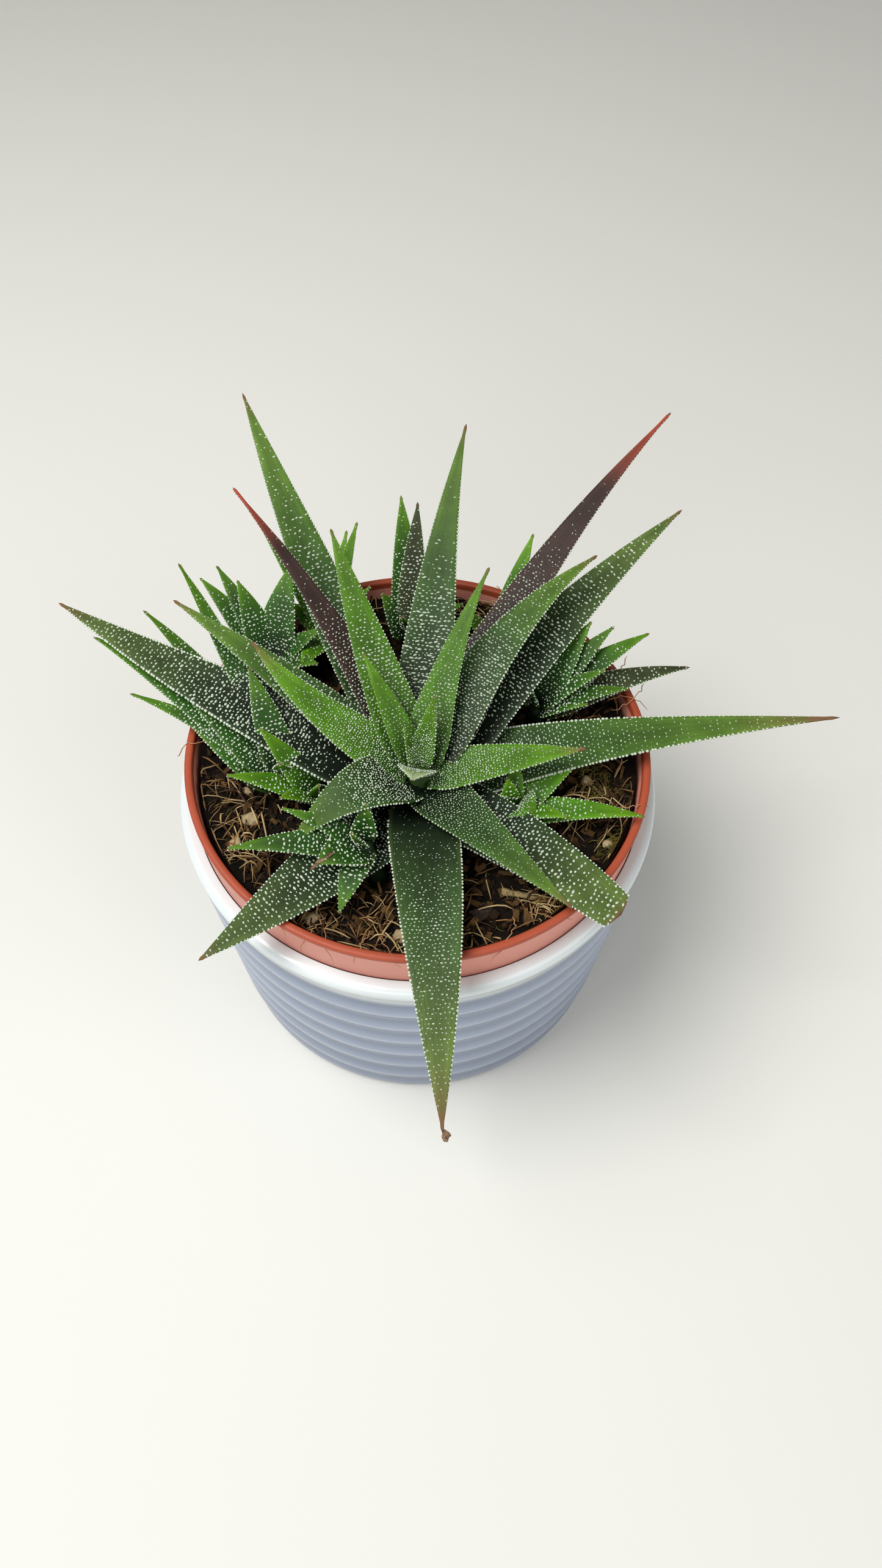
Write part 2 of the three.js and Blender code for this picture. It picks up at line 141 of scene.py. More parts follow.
def newMaterial(name, **sockets):
    material = bpy.data.materials.new(name)
    material.use_nodes = True
    tree = material.node_tree
    shader = tree.nodes["Principled BSDF"]
    for key, value in sockets.items():
        shader.inputs[key.replace("_", " ")].default_value = value
    return material, tree, shader


def newGroup(name, inputs, outputs):
    tree = bpy.data.node_groups.new(name, "ShaderNodeTree")
    for label, kind, value in inputs:
        socket = tree.interface.new_socket(label, in_out="INPUT", socket_type=kind)
        if value is not None:
            socket.default_value = value
    for label, kind in outputs:
        tree.interface.new_socket(label, in_out="OUTPUT", socket_type=kind)
    return tree, tree.nodes.new("NodeGroupInput").outputs, tree.nodes.new("NodeGroupOutput").inputs


def addNode(tree, kind, **settings):
    node = tree.nodes.new(kind)
    for key, value in settings.items():
        setattr(node, key, value)
    return node


def plug(tree, value, socket):  # a number or a colour is set, anything else is linked
    if isinstance(value, (int, float, tuple)):
        socket.default_value = value
    else:
        tree.links.new(value, socket)


def useGroup(tree, group, **values):
    node = addNode(tree, "ShaderNodeGroup", node_tree=group)
    for key, value in values.items():
        plug(tree, value, node.inputs[key.replace("_", " ")])
    return node.outputs


def maths(tree, operation, first, second=None):
    node = addNode(tree, "ShaderNodeMath", operation=operation)
    plug(tree, first, node.inputs[0])
    if second is not None:
        plug(tree, second, node.inputs[1])
    return node.outputs[0]


def times(tree, first, second):
    return maths(tree, "MULTIPLY", first, second)


def blend(tree, share, first, second, mode="MIX"):
    node = addNode(tree, "ShaderNodeMix", data_type="RGBA", blend_type=mode)
    for index, value in ((0, share), (6, first), (7, second)):
        plug(tree, value, node.inputs[index])
    return node.outputs[2]


def shaded(tree, colour, light):
    shade = tree.nodes.new("ShaderNodeCombineColor")
    for socket in shade.inputs:
        tree.links.new(light, socket)
    return blend(tree, 1.0, colour, shade.outputs[0], "MULTIPLY")


def ramp(tree, value, low, high, toLow=0.0, toHigh=1.0, kind="SMOOTHSTEP"):
    node = addNode(tree, "ShaderNodeMapRange", interpolation_type=kind)
    for socket, source in zip(node.inputs, (value, low, high, toLow, toHigh)):
        plug(tree, source, socket)
    return node.outputs[0]


def noiseAt(tree, vector, **values):
    node = tree.nodes.new("ShaderNodeTexNoise")
    for key, value in {"Vector": vector, **values}.items():
        plug(tree, value, node.inputs[key])
    return node.outputs["Fac"]


def objectSpot(tree):
    return tree.nodes.new("ShaderNodeTexCoord").outputs["Object"]


def objectHeight(tree):
    parts = tree.nodes.new("ShaderNodeSeparateXYZ")
    tree.links.new(objectSpot(tree), parts.inputs[0])
    return parts.outputs[2]


def attribute(tree, name):
    return addNode(tree, "ShaderNodeAttribute", attribute_name=name).outputs["Fac"]


def dressShader(tree, shader, colour, roughness=None, bump=None):  # bump: height, strength, distance
    tree.links.new(colour, shader.inputs["Base Color"])
    if roughness is not None:
        tree.links.new(roughness, shader.inputs["Roughness"])
    if bump is not None:
        node = tree.nodes.new("ShaderNodeBump")
        for key, value in zip(("Height", "Strength", "Distance"), bump):
            plug(tree, value, node.inputs[key])
        tree.links.new(node.outputs["Normal"], shader.inputs["Normal"])


# mottle: soft blotches and a fine grain, for anything that isn't one even colour
def makeMottle():
    tree, given, out = newGroup("mottle", [
        ("Vector", "NodeSocketVector", None), ("Blotch Scale", "NodeSocketFloat", 60.0),
        ("Grain Scale", "NodeSocketFloat", 600.0), ("Contrast", "NodeSocketFloat", 0.5),
    ], [("Blotch", "NodeSocketFloat"), ("Grain", "NodeSocketFloat"), ("Height", "NodeSocketFloat")])
    half = times(tree, given["Contrast"], 0.5)
    low, high = maths(tree, "SUBTRACT", 0.5, half), maths(tree, "ADD", 0.5, half)
    masks = []
    for label, detail in (("Blotch", 4.0), ("Grain", 3.0)):
        field = noiseAt(tree, given["Vector"], Scale=given[f"{label} Scale"], Detail=detail, Roughness=0.6)
        masks.append(ramp(tree, field, low, high, kind="LINEAR"))
        tree.links.new(masks[-1], out[label])
    both = maths(tree, "ADD", times(tree, masks[0], 0.6), times(tree, masks[1], 0.4))
    tree.links.new(both, out["Height"])
    return tree


mottle = makeMottle()


def mottleAt(tree, blotch, grain, contrast):
    return useGroup(tree, mottle, Vector=objectSpot(tree), Blotch_Scale=blotch, Grain_Scale=grain,
                    Contrast=contrast)


surfaces = {  # deepen: how far the grain goes back to the dark tone
    "crumbly": {"rough": 0.95, "shine": 0.2, "contrast": 0.45, "deepen": 0.5, "bump": (0.8, 0.0008)},
    "fibrous": {"rough": 0.8, "shine": 0.3, "contrast": 0.4, "deepen": 0.3, "bump": (0.4, 0.0003)},
    "stony": {"rough": 0.85, "shine": 0.5, "contrast": 0.5, "deepen": 0.4, "bump": (0.6, 0.0004)},
}


def makeTwoTone(name, surface, dark, pale, blotch, grain, deep=None):
    look = surfaces[surface]
    material, tree, shader = newMaterial(name, Roughness=look["rough"], Specular_IOR_Level=look["shine"])
    tint = mottleAt(tree, blotch, grain, look["contrast"])
    colour = blend(tree, tint["Blotch"], linear(*dark), linear(*pale))
    colour = blend(tree, times(tree, tint["Grain"], look["deepen"]), colour, linear(*(deep or dark)))
    dressShader(tree, shader, colour, bump=(tint["Height"], *look["bump"]))
    return material


skinMasks = ("along", "across", "tone", "dry")  # attributes of a leaf's skin


# leafSkin: colour along and across a leaf, with streaks, painted shade along the channel, paler margins
# (their own colour and painted light) and a dry tip
def makeLeafSkin():
    colours = ["Foot Color", "Body Color", "End Color", "Edge Color", "Grey Color", "Dry Color"]
    tree, given, out = newGroup(
        "leafSkin",
        [(name.title(), "NodeSocketFloat", 0.0) for name in skinMasks]
        + [("Vector", "NodeSocketVector", None), ("Foot Length", "NodeSocketFloat", 0.35),
           ("End From", "NodeSocketFloat", 0.55)]
        + [(name, "NodeSocketColor", None) for name in colours],
        [("Color", "NodeSocketColor"), ("Roughness", "NodeSocketFloat"), ("Height", "NodeSocketFloat")],
    )
    along, across, tone, dryness = (given[name.title()] for name in skinMasks)
    pastFoot = ramp(tree, along, 0.0, given["Foot Length"])
    colour = blend(tree, pastFoot, given["Foot Color"], given["Body Color"])
    colour = blend(tree, ramp(tree, along, given["End From"], 1.0), colour, given["End Color"])
    greyed = ramp(tree, tone, 1.0, 2.0)  # a tone over 1 is an old, greyed leaf
    colour = blend(tree, greyed, colour, given["Grey Color"])

    place = tree.nodes.new("ShaderNodeCombineXYZ")  # long streaks: slow along, quick across
    for socket, value, pace in zip(place.inputs, (along, across, tone), (3.0, 7.0, 40.0)):
        tree.links.new(times(tree, value, pace), socket)
    streak = noiseAt(tree, place.outputs[0], Scale=1.6, Detail=5.0, Roughness=0.65)
    patches = noiseAt(tree, given["Vector"], Scale=120.0, Detail=4.0)
    light = ramp(tree, streak, 0.3, 0.7, 0.84, 1.16)
    light = times(tree, light, ramp(tree, patches, 0.3, 0.7, 0.78, 1.16))
    light = times(tree, light, ramp(tree, tone, 0.0, 1.0, 0.88, 1.12))
    colour = shaded(tree, colour, light)

    aside = maths(tree, "ABSOLUTE", across)
    colour = shaded(tree, colour, ramp(tree, aside, 0.0, 0.9, 0.84, 1.12))  # painted shade along the channel, painted light towards the margins
    colour = blend(tree, ramp(tree, aside, 0.82, 1.0, 0.0, 0.4), colour, given["Edge Color"])
    ragged = noiseAt(tree, given["Vector"], Scale=900.0, Detail=3.0)
    reach = maths(tree, "ADD", along, times(tree, maths(tree, "SUBTRACT", ragged, 0.5), 0.06))
    over = maths(tree, "SUBTRACT", reach, maths(tree, "SUBTRACT", 1.0, dryness))
    fading = maths(tree, "ADD", times(tree, dryness, 3.0), 0.002)
    browning = ramp(tree, maths(tree, "DIVIDE", over, fading), -1.0, 0.0, 0.0, 0.5)
    colour = blend(tree, browning, colour, given["Dry Color"])
    dry = ramp(tree, over, -0.012, 0.012)
    colour = blend(tree, dry, colour, given["Dry Color"])
    fine = noiseAt(tree, given["Vector"], Scale=2500.0, Detail=2.0)
    height = maths(tree, "ADD", times(tree, streak, 0.6), times(tree, fine, 0.4))
    rough = maths(tree, "ADD", ramp(tree, fine, 0.3, 0.7, 0.46, 0.6), times(tree, dry, 0.3))
    for label, result in (("Color", colour), ("Roughness", rough), ("Height", height)):
        tree.links.new(result, out[label])
    return tree


leafSkin = makeLeafSkin()
leafColours = {  # foot, body, end, edge, then where the foot's colour ends and the end's starts
    "old": ((8, 17, 11), (27, 46, 23), (88, 110, 50), (60, 84, 48), 0.6, 0.42),
    "olive": ((7, 14, 12), (50, 76, 32), (92, 112, 50), (84, 106, 58), 0.6, 0.45),
    "mature": ((10, 22, 11), (46, 78, 26), (90, 122, 42), (76, 108, 46), 0.6, 0.42),
    "young": ((30, 62, 6), (66, 110, 10), (90, 134, 24), (90, 134, 40), 0.35, 0.45),
    "purple": ((20, 26, 17), (58, 41, 36), (174, 76, 54), (84, 64, 54), 0.5, 0.74),
    "offset": ((11, 36, 7), (34, 76, 8), (82, 128, 14), (80, 124, 32), 0.4, 0.45),
    "lime": ((22, 60, 3), (64, 116, 2), (100, 150, 10), (98, 144, 30), 0.35, 0.45),
    "heart": ((70, 100, 40), (112, 138, 84), (160, 176, 132), (206, 214, 190), 0.3, 0.3),
}
dryColour = linear(122, 92, 62)
greyColour = linear(54, 62, 36)


def makeLeafMaterial(kind):
    material, tree, shader = newMaterial(
        f"leaf_{kind}", Specular_IOR_Level=0.28, Subsurface_Weight=0.04, Subsurface_Scale=0.002)
    *colours, footLength, endFrom = leafColours[kind]
    foot, body, end, edge = (linear(*colour) for colour in colours)
    skin = useGroup(
        tree, leafSkin, Vector=objectSpot(tree), Foot_Length=footLength, End_From=endFrom, Foot_Color=foot,
        Body_Color=body, End_Color=end, Edge_Color=edge, Grey_Color=greyColour, Dry_Color=dryColour,
        **{name.title(): attribute(tree, name) for name in skinMasks})
    dressShader(tree, shader, skin["Color"], skin["Roughness"], (skin["Height"], 0.3, 0.0004))
    return material


leafMaterials = {kind: makeLeafMaterial(kind) for kind in leafColours}


def makeBeadMaterial():
    material, tree, shader = newMaterial("tubercle", Specular_IOR_Level=0.45)
    grain = mottleAt(tree, 500.0, 3000.0, 0.5)
    colour = blend(tree, attribute(tree, "tone"), linear(116, 148, 92), linear(222, 230, 216))
    colour = blend(tree, times(tree, grain["Blotch"], 0.22), colour, linear(132, 156, 112))
    dressShader(tree, shader, colour, ramp(tree, grain["Grain"], 0.0, 1.0, 0.45, 0.65))
    return material


beadMaterial = makeBeadMaterial()


leafForm = {
    "edge": 0.7, "tip": 0.8, "foot": 0.7, "fullAt": 0.2, "taper": 1.6, "keelPower": 0.7,
    "channel": 0.16, "belly": 1.35,  # belly: how round the lower face is
    "roundTip": 0.985, "roundFoot": 0.02, "bluntTip": 0.96,  # where the ends start to round
    "dry": 0.015,  # length of the dry tip, as a share
}


def shapeLeaf(leaf, root, thick, start):  # fills in the leaf's curve from its few numbers
    turn = math.radians(leaf["heading"])
    out = Vector((math.cos(turn), math.sin(turn), 0))
    left = Vector((-out.y, out.x, 0))
    base = Vector((root[0], root[1], soilTop + leaf["from"])) + out * start
    tip = Vector((root[0], root[1], soilTop + leaf["from"] + leaf["climb"])) + out * leaf["reach"]
    handle = base.lerp(tip, leaf.get("bow", 0.5)) + up * 2 * leaf["arch"] + left * 2 * leaf.get("sway", 0)
    return {**leaf, "curve": (base, handle, tip), "thick": leaf.get("thick", thick)}


def station(leaf, t):  # the leaf's frame and half width at a share of its length
    base, handle, tip = leaf["curve"]
    centre = base * (1 - t) ** 2 + handle * 2 * t * (1 - t) + tip * t * t
    along = ((handle - base) * (1 - t) + (tip - handle) * t).normalized()
    side = up.cross(along).normalized()
    face = along.cross(side).normalized()
    toFull = min(1, t / leaf.get("fullAt", leafForm["fullAt"]))
    swell = leafForm["foot"] + (1 - leafForm["foot"]) * math.sin(math.pi / 2 * toFull)
    taper = 1 - (t * leaf.get("intact", 1)) ** leaf.get("late", leafForm["taper"])
    half = max(leafForm["tip"] / 2, leaf["width"] / 2 * swell * taper)
    return {
        "centre": centre, "along": along, "side": side, "face": face, "half": half,
        "keel": leaf["thick"] * (1 - t) ** leafForm["keelPower"],
        "channel": leafForm["channel"] * half * (1 - t),
    }


def heightAcross(place, u, upper):
    rim = leafForm["edge"] / 2 * math.sqrt(max(0, 1 - abs(u) ** 6))
    if upper:
        return rim - place["channel"] * (1 - u * u)
    return -rim - place["keel"] * (1 - abs(u) ** leafForm["belly"])


def endRound(t, leaf):  # closes both ends of the skin
    tipFrom = leafForm["bluntTip"] if leaf.get("intact") else leafForm["roundTip"]
    if t > tipFrom:
        return math.sqrt(max(0, 1 - ((t - tipFrom) / (1 - tipFrom)) ** 2))
    if t < leafForm["roundFoot"]:
        return math.sqrt(max(0, 1 - (1 - t / leafForm["roundFoot"]) ** 2))
    return 1.0


def skinLayers(bm):
    floats = bm.verts.layers.float
    for name in skinMasks:
        if name not in floats:
            floats.new(name)
    return {name: floats[name] for name in skinMasks}


def addLeafSkin(bm, leaf, around, lengthwise):
    layers = skinLayers(bm)
    rows = {}
    for vert in bmesh.ops.create_grid(bm, x_segments=around, y_segments=lengthwise, size=0.5)["verts"]:
        rows.setdefault(round((vert.co.y + 0.5) * lengthwise), []).append(vert)
    for row, verts in rows.items():
        share = row / lengthwise
        t = share * share * (3 - 2 * share) * 0.35 + share * 0.65  # rings closer at both ends
        place = station(leaf, t)
        close = endRound(t, leaf)
        for vert in verts:
            s = vert.co.x + 0.5
            u = math.cos(math.tau * s)
            aside = u * place["half"] * close
            height = heightAcross(place, u, s < 0.5) * close
            vert.co = place["centre"] + place["side"] * aside + place["face"] * height
            vert[layers["along"]] = t
            vert[layers["across"]] = u
            vert[layers["tone"]] = leaf["tone"]
            vert[layers["dry"]] = leaf.get("dry", leafForm["dry"])


def closeSkin(bm):
    bmesh.ops.remove_doubles(bm, verts=bm.verts, dist=1e-3)
    bmesh.ops.recalc_face_normals(bm, faces=bm.faces)


# dash: length over width; bare: how far up the beads are thin; thin: share of them left at the tip
beadFields = ("pitch", "spread", "size", "dash", "white", "bare", "thin")
beadRows = {
    "old": (1.1, 1.1, 0.27, 1.6, 0.85, 0.3, 0.85),
    "olive": (0.95, 0.95, 0.18, 1.7, 0.78, 0.4, 0.85),
    "mature": (1.15, 1.2, 0.27, 1.9, 0.75, 0.15, 0.6),
    "young": (1.0, 1.0, 0.235, 1.6, 0.72, 0.03, 0.5),
    "purple": (1.0, 1.05, 0.24, 1.5, 0.75, 0.1, 0.1),
    "offset": (1.2, 1.15, 0.27, 1.6, 0.85, 0.08, 0.6),
    "lime": (1.2, 1.15, 0.26, 1.5, 0.78, 0.08, 0.5),
}
beadLooks = {kind: dict(zip(beadFields, row)) for kind, row in beadRows.items()}
beadForm = {
    "upper": 0.98, "lower": 0.65,  # share of the places that are filled on each face
    "stagger": 0.25, "jitter": 0.2, "slide": 0.26, "within": 0.9, "turn": 0.25,
    "sizes": (0.6, 0.8, 0.95, 1, 1.1, 1.3), "flat": 0.7, "proud": 0.1,
    "marginPitch": 0.95, "marginRows": 5, "marginSize": 1.15, "onKeel": 0.7,
}


def bead(spot, long, short, rise, size, white):
    turn = Matrix((long, short, rise)).transposed().to_4x4()
    return Matrix.Translation(spot) @ turn @ Matrix.Diagonal((*size, 1)), white


def finishBeads(name, beads):
    whole = bmesh.new()
    for first in range(0, len(beads), batch):
        part = bmesh.new()
        tone = part.verts.layers.float.new("tone")
        for matrix, white in beads[first:first + batch]:
            for vert in bmesh.ops.create_icosphere(part, subdivisions=1, radius=1, matrix=matrix)["verts"]:
                vert[tone] = white
        pourInto(whole, part).free()
    finishPiece(name, whole, beadMaterial)


def faceBead(leaf, place, t, u, upper, grow, full, look, rng):
    half = place["half"]
    height = heightAcross(place, u, upper)
    slope = 2 * place["channel"] * u if upper else (
        place["keel"] * leafForm["belly"] * abs(u) ** (leafForm["belly"] - 1) * math.copysign(1, u))
    rise = (place["face"] * half - place["side"] * slope).normalized() * (1 if upper else -1)
    size = look["size"] * grow * rng.choice(beadForm["sizes"])
    size *= (0.6 + 0.4 * min(1, half / (0.35 * leaf["width"]))) * (0.6 + 0.4 * full)
    spot = place["centre"] + place["side"] * (u * half) + place["face"] * height
    slide = rng.uniform(-beadForm["slide"], beadForm["slide"]) * look["pitch"]
    spot += place["along"] * slide + rise * (beadForm["proud"] * size)
    long = Matrix.Rotation(rng.gauss(0, beadForm["turn"]), 3, rise) @ place["along"].cross(rise).normalized()
    dash = rng.uniform(1, look["dash"] * 1.2)
    white = look["white"] * rng.uniform(0.8, 1.1) * (0.85 + 0.15 * t)
    return bead(spot, long, rise.cross(long), rise, (size * dash, size, size * beadForm["flat"]), white)


def marginBeads(leaf, look, length, last, rng):  # larger ones in a row on each margin, some on the keel
    beads = []
    rows = max(beadForm["marginRows"], round(length / beadForm["marginPitch"]))
    for row in range(rows):
        t = (row + rng.uniform(0.3, 0.7)) / rows
        if t > last or rng.random() > 0.3 + 3 * t:
            continue
        place = station(leaf, t)
        size = look["size"] * (0.65 + 0.35 * min(1, place["half"] / 4))
        for way in (-1, 1):
            wide = size * look.get("margin", beadForm["marginSize"]) * rng.uniform(0.8, 1.15)
            spot = place["centre"] + place["side"] * (way * (place["half"] - 0.05))
            beads.append(bead(spot, place["face"], place["along"], place["side"] * way,
                              (wide, wide, wide * 0.9), min(1, look["white"] * 1.1)))
        if rng.random() < beadForm["onKeel"]:
            spot = place["centre"] + place["face"] * heightAcross(place, 0, False)
            beads.append(bead(spot, place["side"], place["along"], -place["face"],
                              (size, size, size * 0.8), look["white"]))
    return beads


def leafBeads(leaf, look, rng):
    beads = []
    base, handle, tip = leaf["curve"]
    length = ((handle - base).length + (tip - handle).length + (tip - base).length) / 2
    last = 1 - leaf.get("dry", leafForm["dry"])
    t, row = 0.3 * look["pitch"] / length, 0
    while t < last:
        place = station(leaf, t)
        grow = 0.8 + 0.45 * t  # beads and their spacing grow along the leaf
        full = min(1, t / max(0.01, look["bare"])) ** 1.5
        toTip = min(1, max(0, (t - 0.4) / 0.3))
        full *= 1 - (1 - look["thin"]) * toTip * toTip * (3 - 2 * toTip)
        count = max(1, round(1.8 * place["half"] / (look["spread"] * grow)))
        stagger = beadForm["stagger"] if row % 2 else -beadForm["stagger"]
        for upper in (True, False):
            for k in range(count):
                if rng.random() > full * beadForm["upper" if upper else "lower"]:
                    continue
                jitter = rng.uniform(-beadForm["jitter"], beadForm["jitter"])
                u = (2 * (k + 0.5 + stagger + jitter) / count - 1) * beadForm["within"]
                beads.append(faceBead(leaf, place, t, u, upper, grow, full, look, rng))
        t += look["pitch"] * (0.7 + 0.6 * t) / length
        row += 1
    return beads + marginBeads(leaf, look, length, last, rng)


stemX, stemY = 0, -11
mainStem = {"radius": 4.2, "foot": -14.5, "top": 15.5}
mainLeaves = [
    {"name": "front_left_low", "kind": "old", "heading": -136, "reach": 70, "from": 3.5, "climb": 6,
     "arch": 2.5, "sway": 1.5, "width": 22, "late": 1.8, "dry": 0.02,
     "beads": {"bare": 0.2}},
    {"name": "front_right_blunt", "kind": "old", "heading": -40, "reach": 61, "from": 5.5, "climb": 6,
     "arch": 4, "width": 18.5, "intact": 0.65, "late": 1.8, "dry": 0.01,
     "beads": {"bare": 0.35}},
    {"name": "left_long", "kind": "old", "heading": 152, "reach": 109, "from": 7, "climb": 12.5,
     "arch": 3.5, "sway": 3.5, "width": 22, "thick": 3.6, "late": 1.5, "dry": 0.03,
     "beads": {"margin": 1.5, "size": 0.29, "dash": 1.8}},
    {"name": "front_hanging", "kind": "olive", "heading": -87, "reach": 86, "from": 6.5, "climb": -5,
     "arch": 10, "sway": 0.5, "width": 18, "late": 2.1, "dry": 0.045,
     "beads": {"margin": 1.9, "bare": 0.5}},
    {"name": "right_long", "kind": "mature", "heading": 6, "reach": 107, "from": 7.5, "climb": 12,
     "arch": 0.5, "sway": 4.5, "bow": 0.25, "width": 20.5, "late": 1.7, "dry": 0.05,
     "beads": {"size": 0.21, "bare": 0.2, "margin": 2.1, "pitch": 1.05}},
    {"name": "back_left_tall", "kind": "mature", "heading": 114.8, "reach": 113, "from": 6, "climb": 41,
     "arch": 0, "sway": 1.5, "width": 15.5, "late": 2, "fullAt": 0.6, "dry": 0.02,
     "beads": {"size": 0.28, "pitch": 1.2, "spread": 1.25, "thin": 0.5}},
    {"name": "back_right_dark", "kind": "old", "heading": 44, "reach": 99, "from": 7.5, "climb": 28,
     "arch": 1, "sway": 3, "width": 18.5, "late": 1.8, "dry": 0.02,
     "beads": {"dash": 2.0, "pitch": 1.25, "spread": 1.2}},
    {"name": "back_left_purple", "kind": "purple", "heading": 126.4, "reach": 78, "from": 12, "climb": 37,
     "arch": 0, "sway": -2.5, "width": 13, "late": 1, "dry": 0.0},
    {"name": "back_right_purple", "kind": "purple", "heading": 52, "reach": 109, "from": 9.5, "climb": 44,
     "arch": 0, "sway": 5, "width": 19, "late": 0.95, "dry": 0.0},
    {"name": "back_tall", "kind": "mature", "heading": 81, "reach": 85, "from": 9.5, "climb": 42,
     "arch": 2, "sway": 2, "width": 19, "late": 1.1, "dry": 0.02,
     "beads": {"dash": 2.4, "pitch": 1.0, "spread": 1.25, "thin": 0.1}},
    {"name": "left_behind", "kind": "mature", "heading": 144, "reach": 79, "from": 9.5, "climb": 16,
     "arch": 2, "width": 14, "dry": 0.03},
    {"name": "front_right", "kind": "mature", "heading": -47, "reach": 52, "from": 10.5, "climb": 2,
     "arch": 5, "sway": -2, "width": 17, "late": 1.15, "dry": 0.04,
     "beads": {"size": 0.17, "dash": 1.6, "pitch": 0.85, "spread": 0.9, "margin": 1.6, "white": 0.65}},
    {"name": "right_curved", "kind": "mature", "heading": 48, "reach": 70, "from": 11.5, "climb": 24,
     "arch": 5, "sway": 3.5, "width": 16.5, "late": 1.4, "dry": 0.03,
     "beads": {"size": 0.23, "bare": 0.1, "pitch": 1.0, "spread": 1.0, "margin": 1.5}},
    {"name": "front_left_curled", "kind": "mature", "heading": -150, "reach": 36, "from": 11.5, "climb": -3,
     "arch": 9, "width": 18, "dry": 0.02,
     "beads": {"size": 0.22, "dash": 1.4, "pitch": 0.85, "spread": 0.85, "margin": 1.4, "bare": 0.1,
               "thin": 0.35}},
    {"name": "back_left_bright", "kind": "young", "heading": 112, "reach": 58, "from": 12.5, "climb": 31,
     "arch": 3, "sway": 1, "width": 13.5},
    {"name": "right_short", "kind": "young", "heading": 1, "reach": 41, "from": 12.5, "climb": 9,
     "arch": 1, "width": 13, "late": 1.7, "dry": 0.05,
     "beads": {"size": 0.19, "pitch": 0.78, "spread": 0.8, "margin": 1.6}},
    {"name": "left_bright", "kind": "young", "heading": 144, "reach": 52, "from": 13.5, "climb": 14,
     "arch": 2, "sway": 4, "width": 15.5, "late": 1.2, "dry": 0.06,
     "beads": {"size": 0.2, "pitch": 0.78, "spread": 0.8, "margin": 1.6}},
    {"name": "back_right_upright", "kind": "young", "heading": 66, "reach": 44, "from": 14.5, "climb": 29,
     "arch": 1, "sway": 1.5, "width": 14, "late": 0.9,
     "beads": {"size": 0.21, "thin": 0.4}},
    {"name": "back_left_small", "kind": "young", "heading": 122, "reach": 25, "from": 15.5, "climb": 18,
     "arch": 1, "width": 8,
     "beads": {"size": 0.16}},
]
mainLeafDetail = {"around": 28, "lengthwise": 56, "thick": 0.22, "start": 0.4}  # of its width, of the stem


def buildMainLeaves():
    for number, plain in enumerate(mainLeaves):
        rng = random.Random(seeds["leaves"] + number)
        name, kind = plain["name"], plain["kind"]
        leaf = shapeLeaf(plain, (stemX, stemY), mainLeafDetail["thick"] * plain["width"],
                         mainStem["radius"] * mainLeafDetail["start"])
        leaf["tone"] = rng.random()
        bm = bmesh.new()
        addLeafSkin(bm, leaf, mainLeafDetail["around"], mainLeafDetail["lengthwise"])
        closeSkin(bm)
        finishPiece(f"skin_{name}", bm, leafMaterials[kind],
                    (f"leaf_{name}",))
        beads = leafBeads(leaf, {**beadLooks[kind], **leaf.get("beads", {})}, rng)
        finishBeads(f"tubercles_{name}", beads)
    print("main leaves built:", len(mainLeaves))


stemForm = {"taper": 0.75, "along": 0.1, "tone": 0.2}


def addStem(bm, foot, crown, radius, sides):
    layers = skinLayers(bm)
    way = crown - foot
    matrix = Matrix.Translation((foot + crown) / 2) @ way.to_track_quat("Z", "Y").to_matrix().to_4x4()
    made = bmesh.ops.create_cone(bm, cap_ends=True, segments=sides, radius1=radius,
                                 radius2=stemForm["taper"] * radius, depth=way.length, matrix=matrix)["verts"]
    for vert in made:
        vert[layers["along"]] = stemForm["along"]
        vert[layers["tone"]] = stemForm["tone"]


budLeaves = [
    {"heading": -103, "reach": 6.8, "from": 15, "climb": 4, "arch": 1.5, "width": 11, "thick": 2.5},
    {"heading": 132, "reach": 5.2, "from": 15, "climb": 12, "arch": 0.5, "width": 5, "thick": 2},
    {"heading": 67, "reach": 11, "from": 15, "climb": 16.5, "arch": 0.5, "width": 7, "thick": 2},
]
budDetail = {"around": 20, "lengthwise": 14, "stemSides": 24, "beads": {
    "size": 0.15, "pitch": 0.6, "spread": 0.6, "white": 0.9, "bare": 0.01, "margin": 1.9}}


def buildBud():
    rng = random.Random(seeds["bud"])
    skin, front, beads = bmesh.new(), bmesh.new(), []  # front: the pale leaf folded over the heart
    addStem(skin, Vector((stemX, stemY, soilTop + mainStem["foot"])),
            Vector((stemX, stemY, soilTop + mainStem["top"])), mainStem["radius"], budDetail["stemSides"])
    for number, plain in enumerate(budLeaves):
        leaf = shapeLeaf(plain, (stemX, stemY), 3, 0)
        leaf["tone"] = rng.random()
        addLeafSkin(skin if number else front, leaf, budDetail["around"], budDetail["lengthwise"])
        beads += leafBeads(leaf, {**beadLooks["young"], **budDetail["beads"]}, rng)
    closeSkin(skin)
    closeSkin(front)
    finishPiece("skin_bud_front", front, leafMaterials["heart"])
    finishPiece("skin_bud", skin, leafMaterials["young"], ("main_stem_and_bud",))
    finishBeads("tubercles_bud", beads)


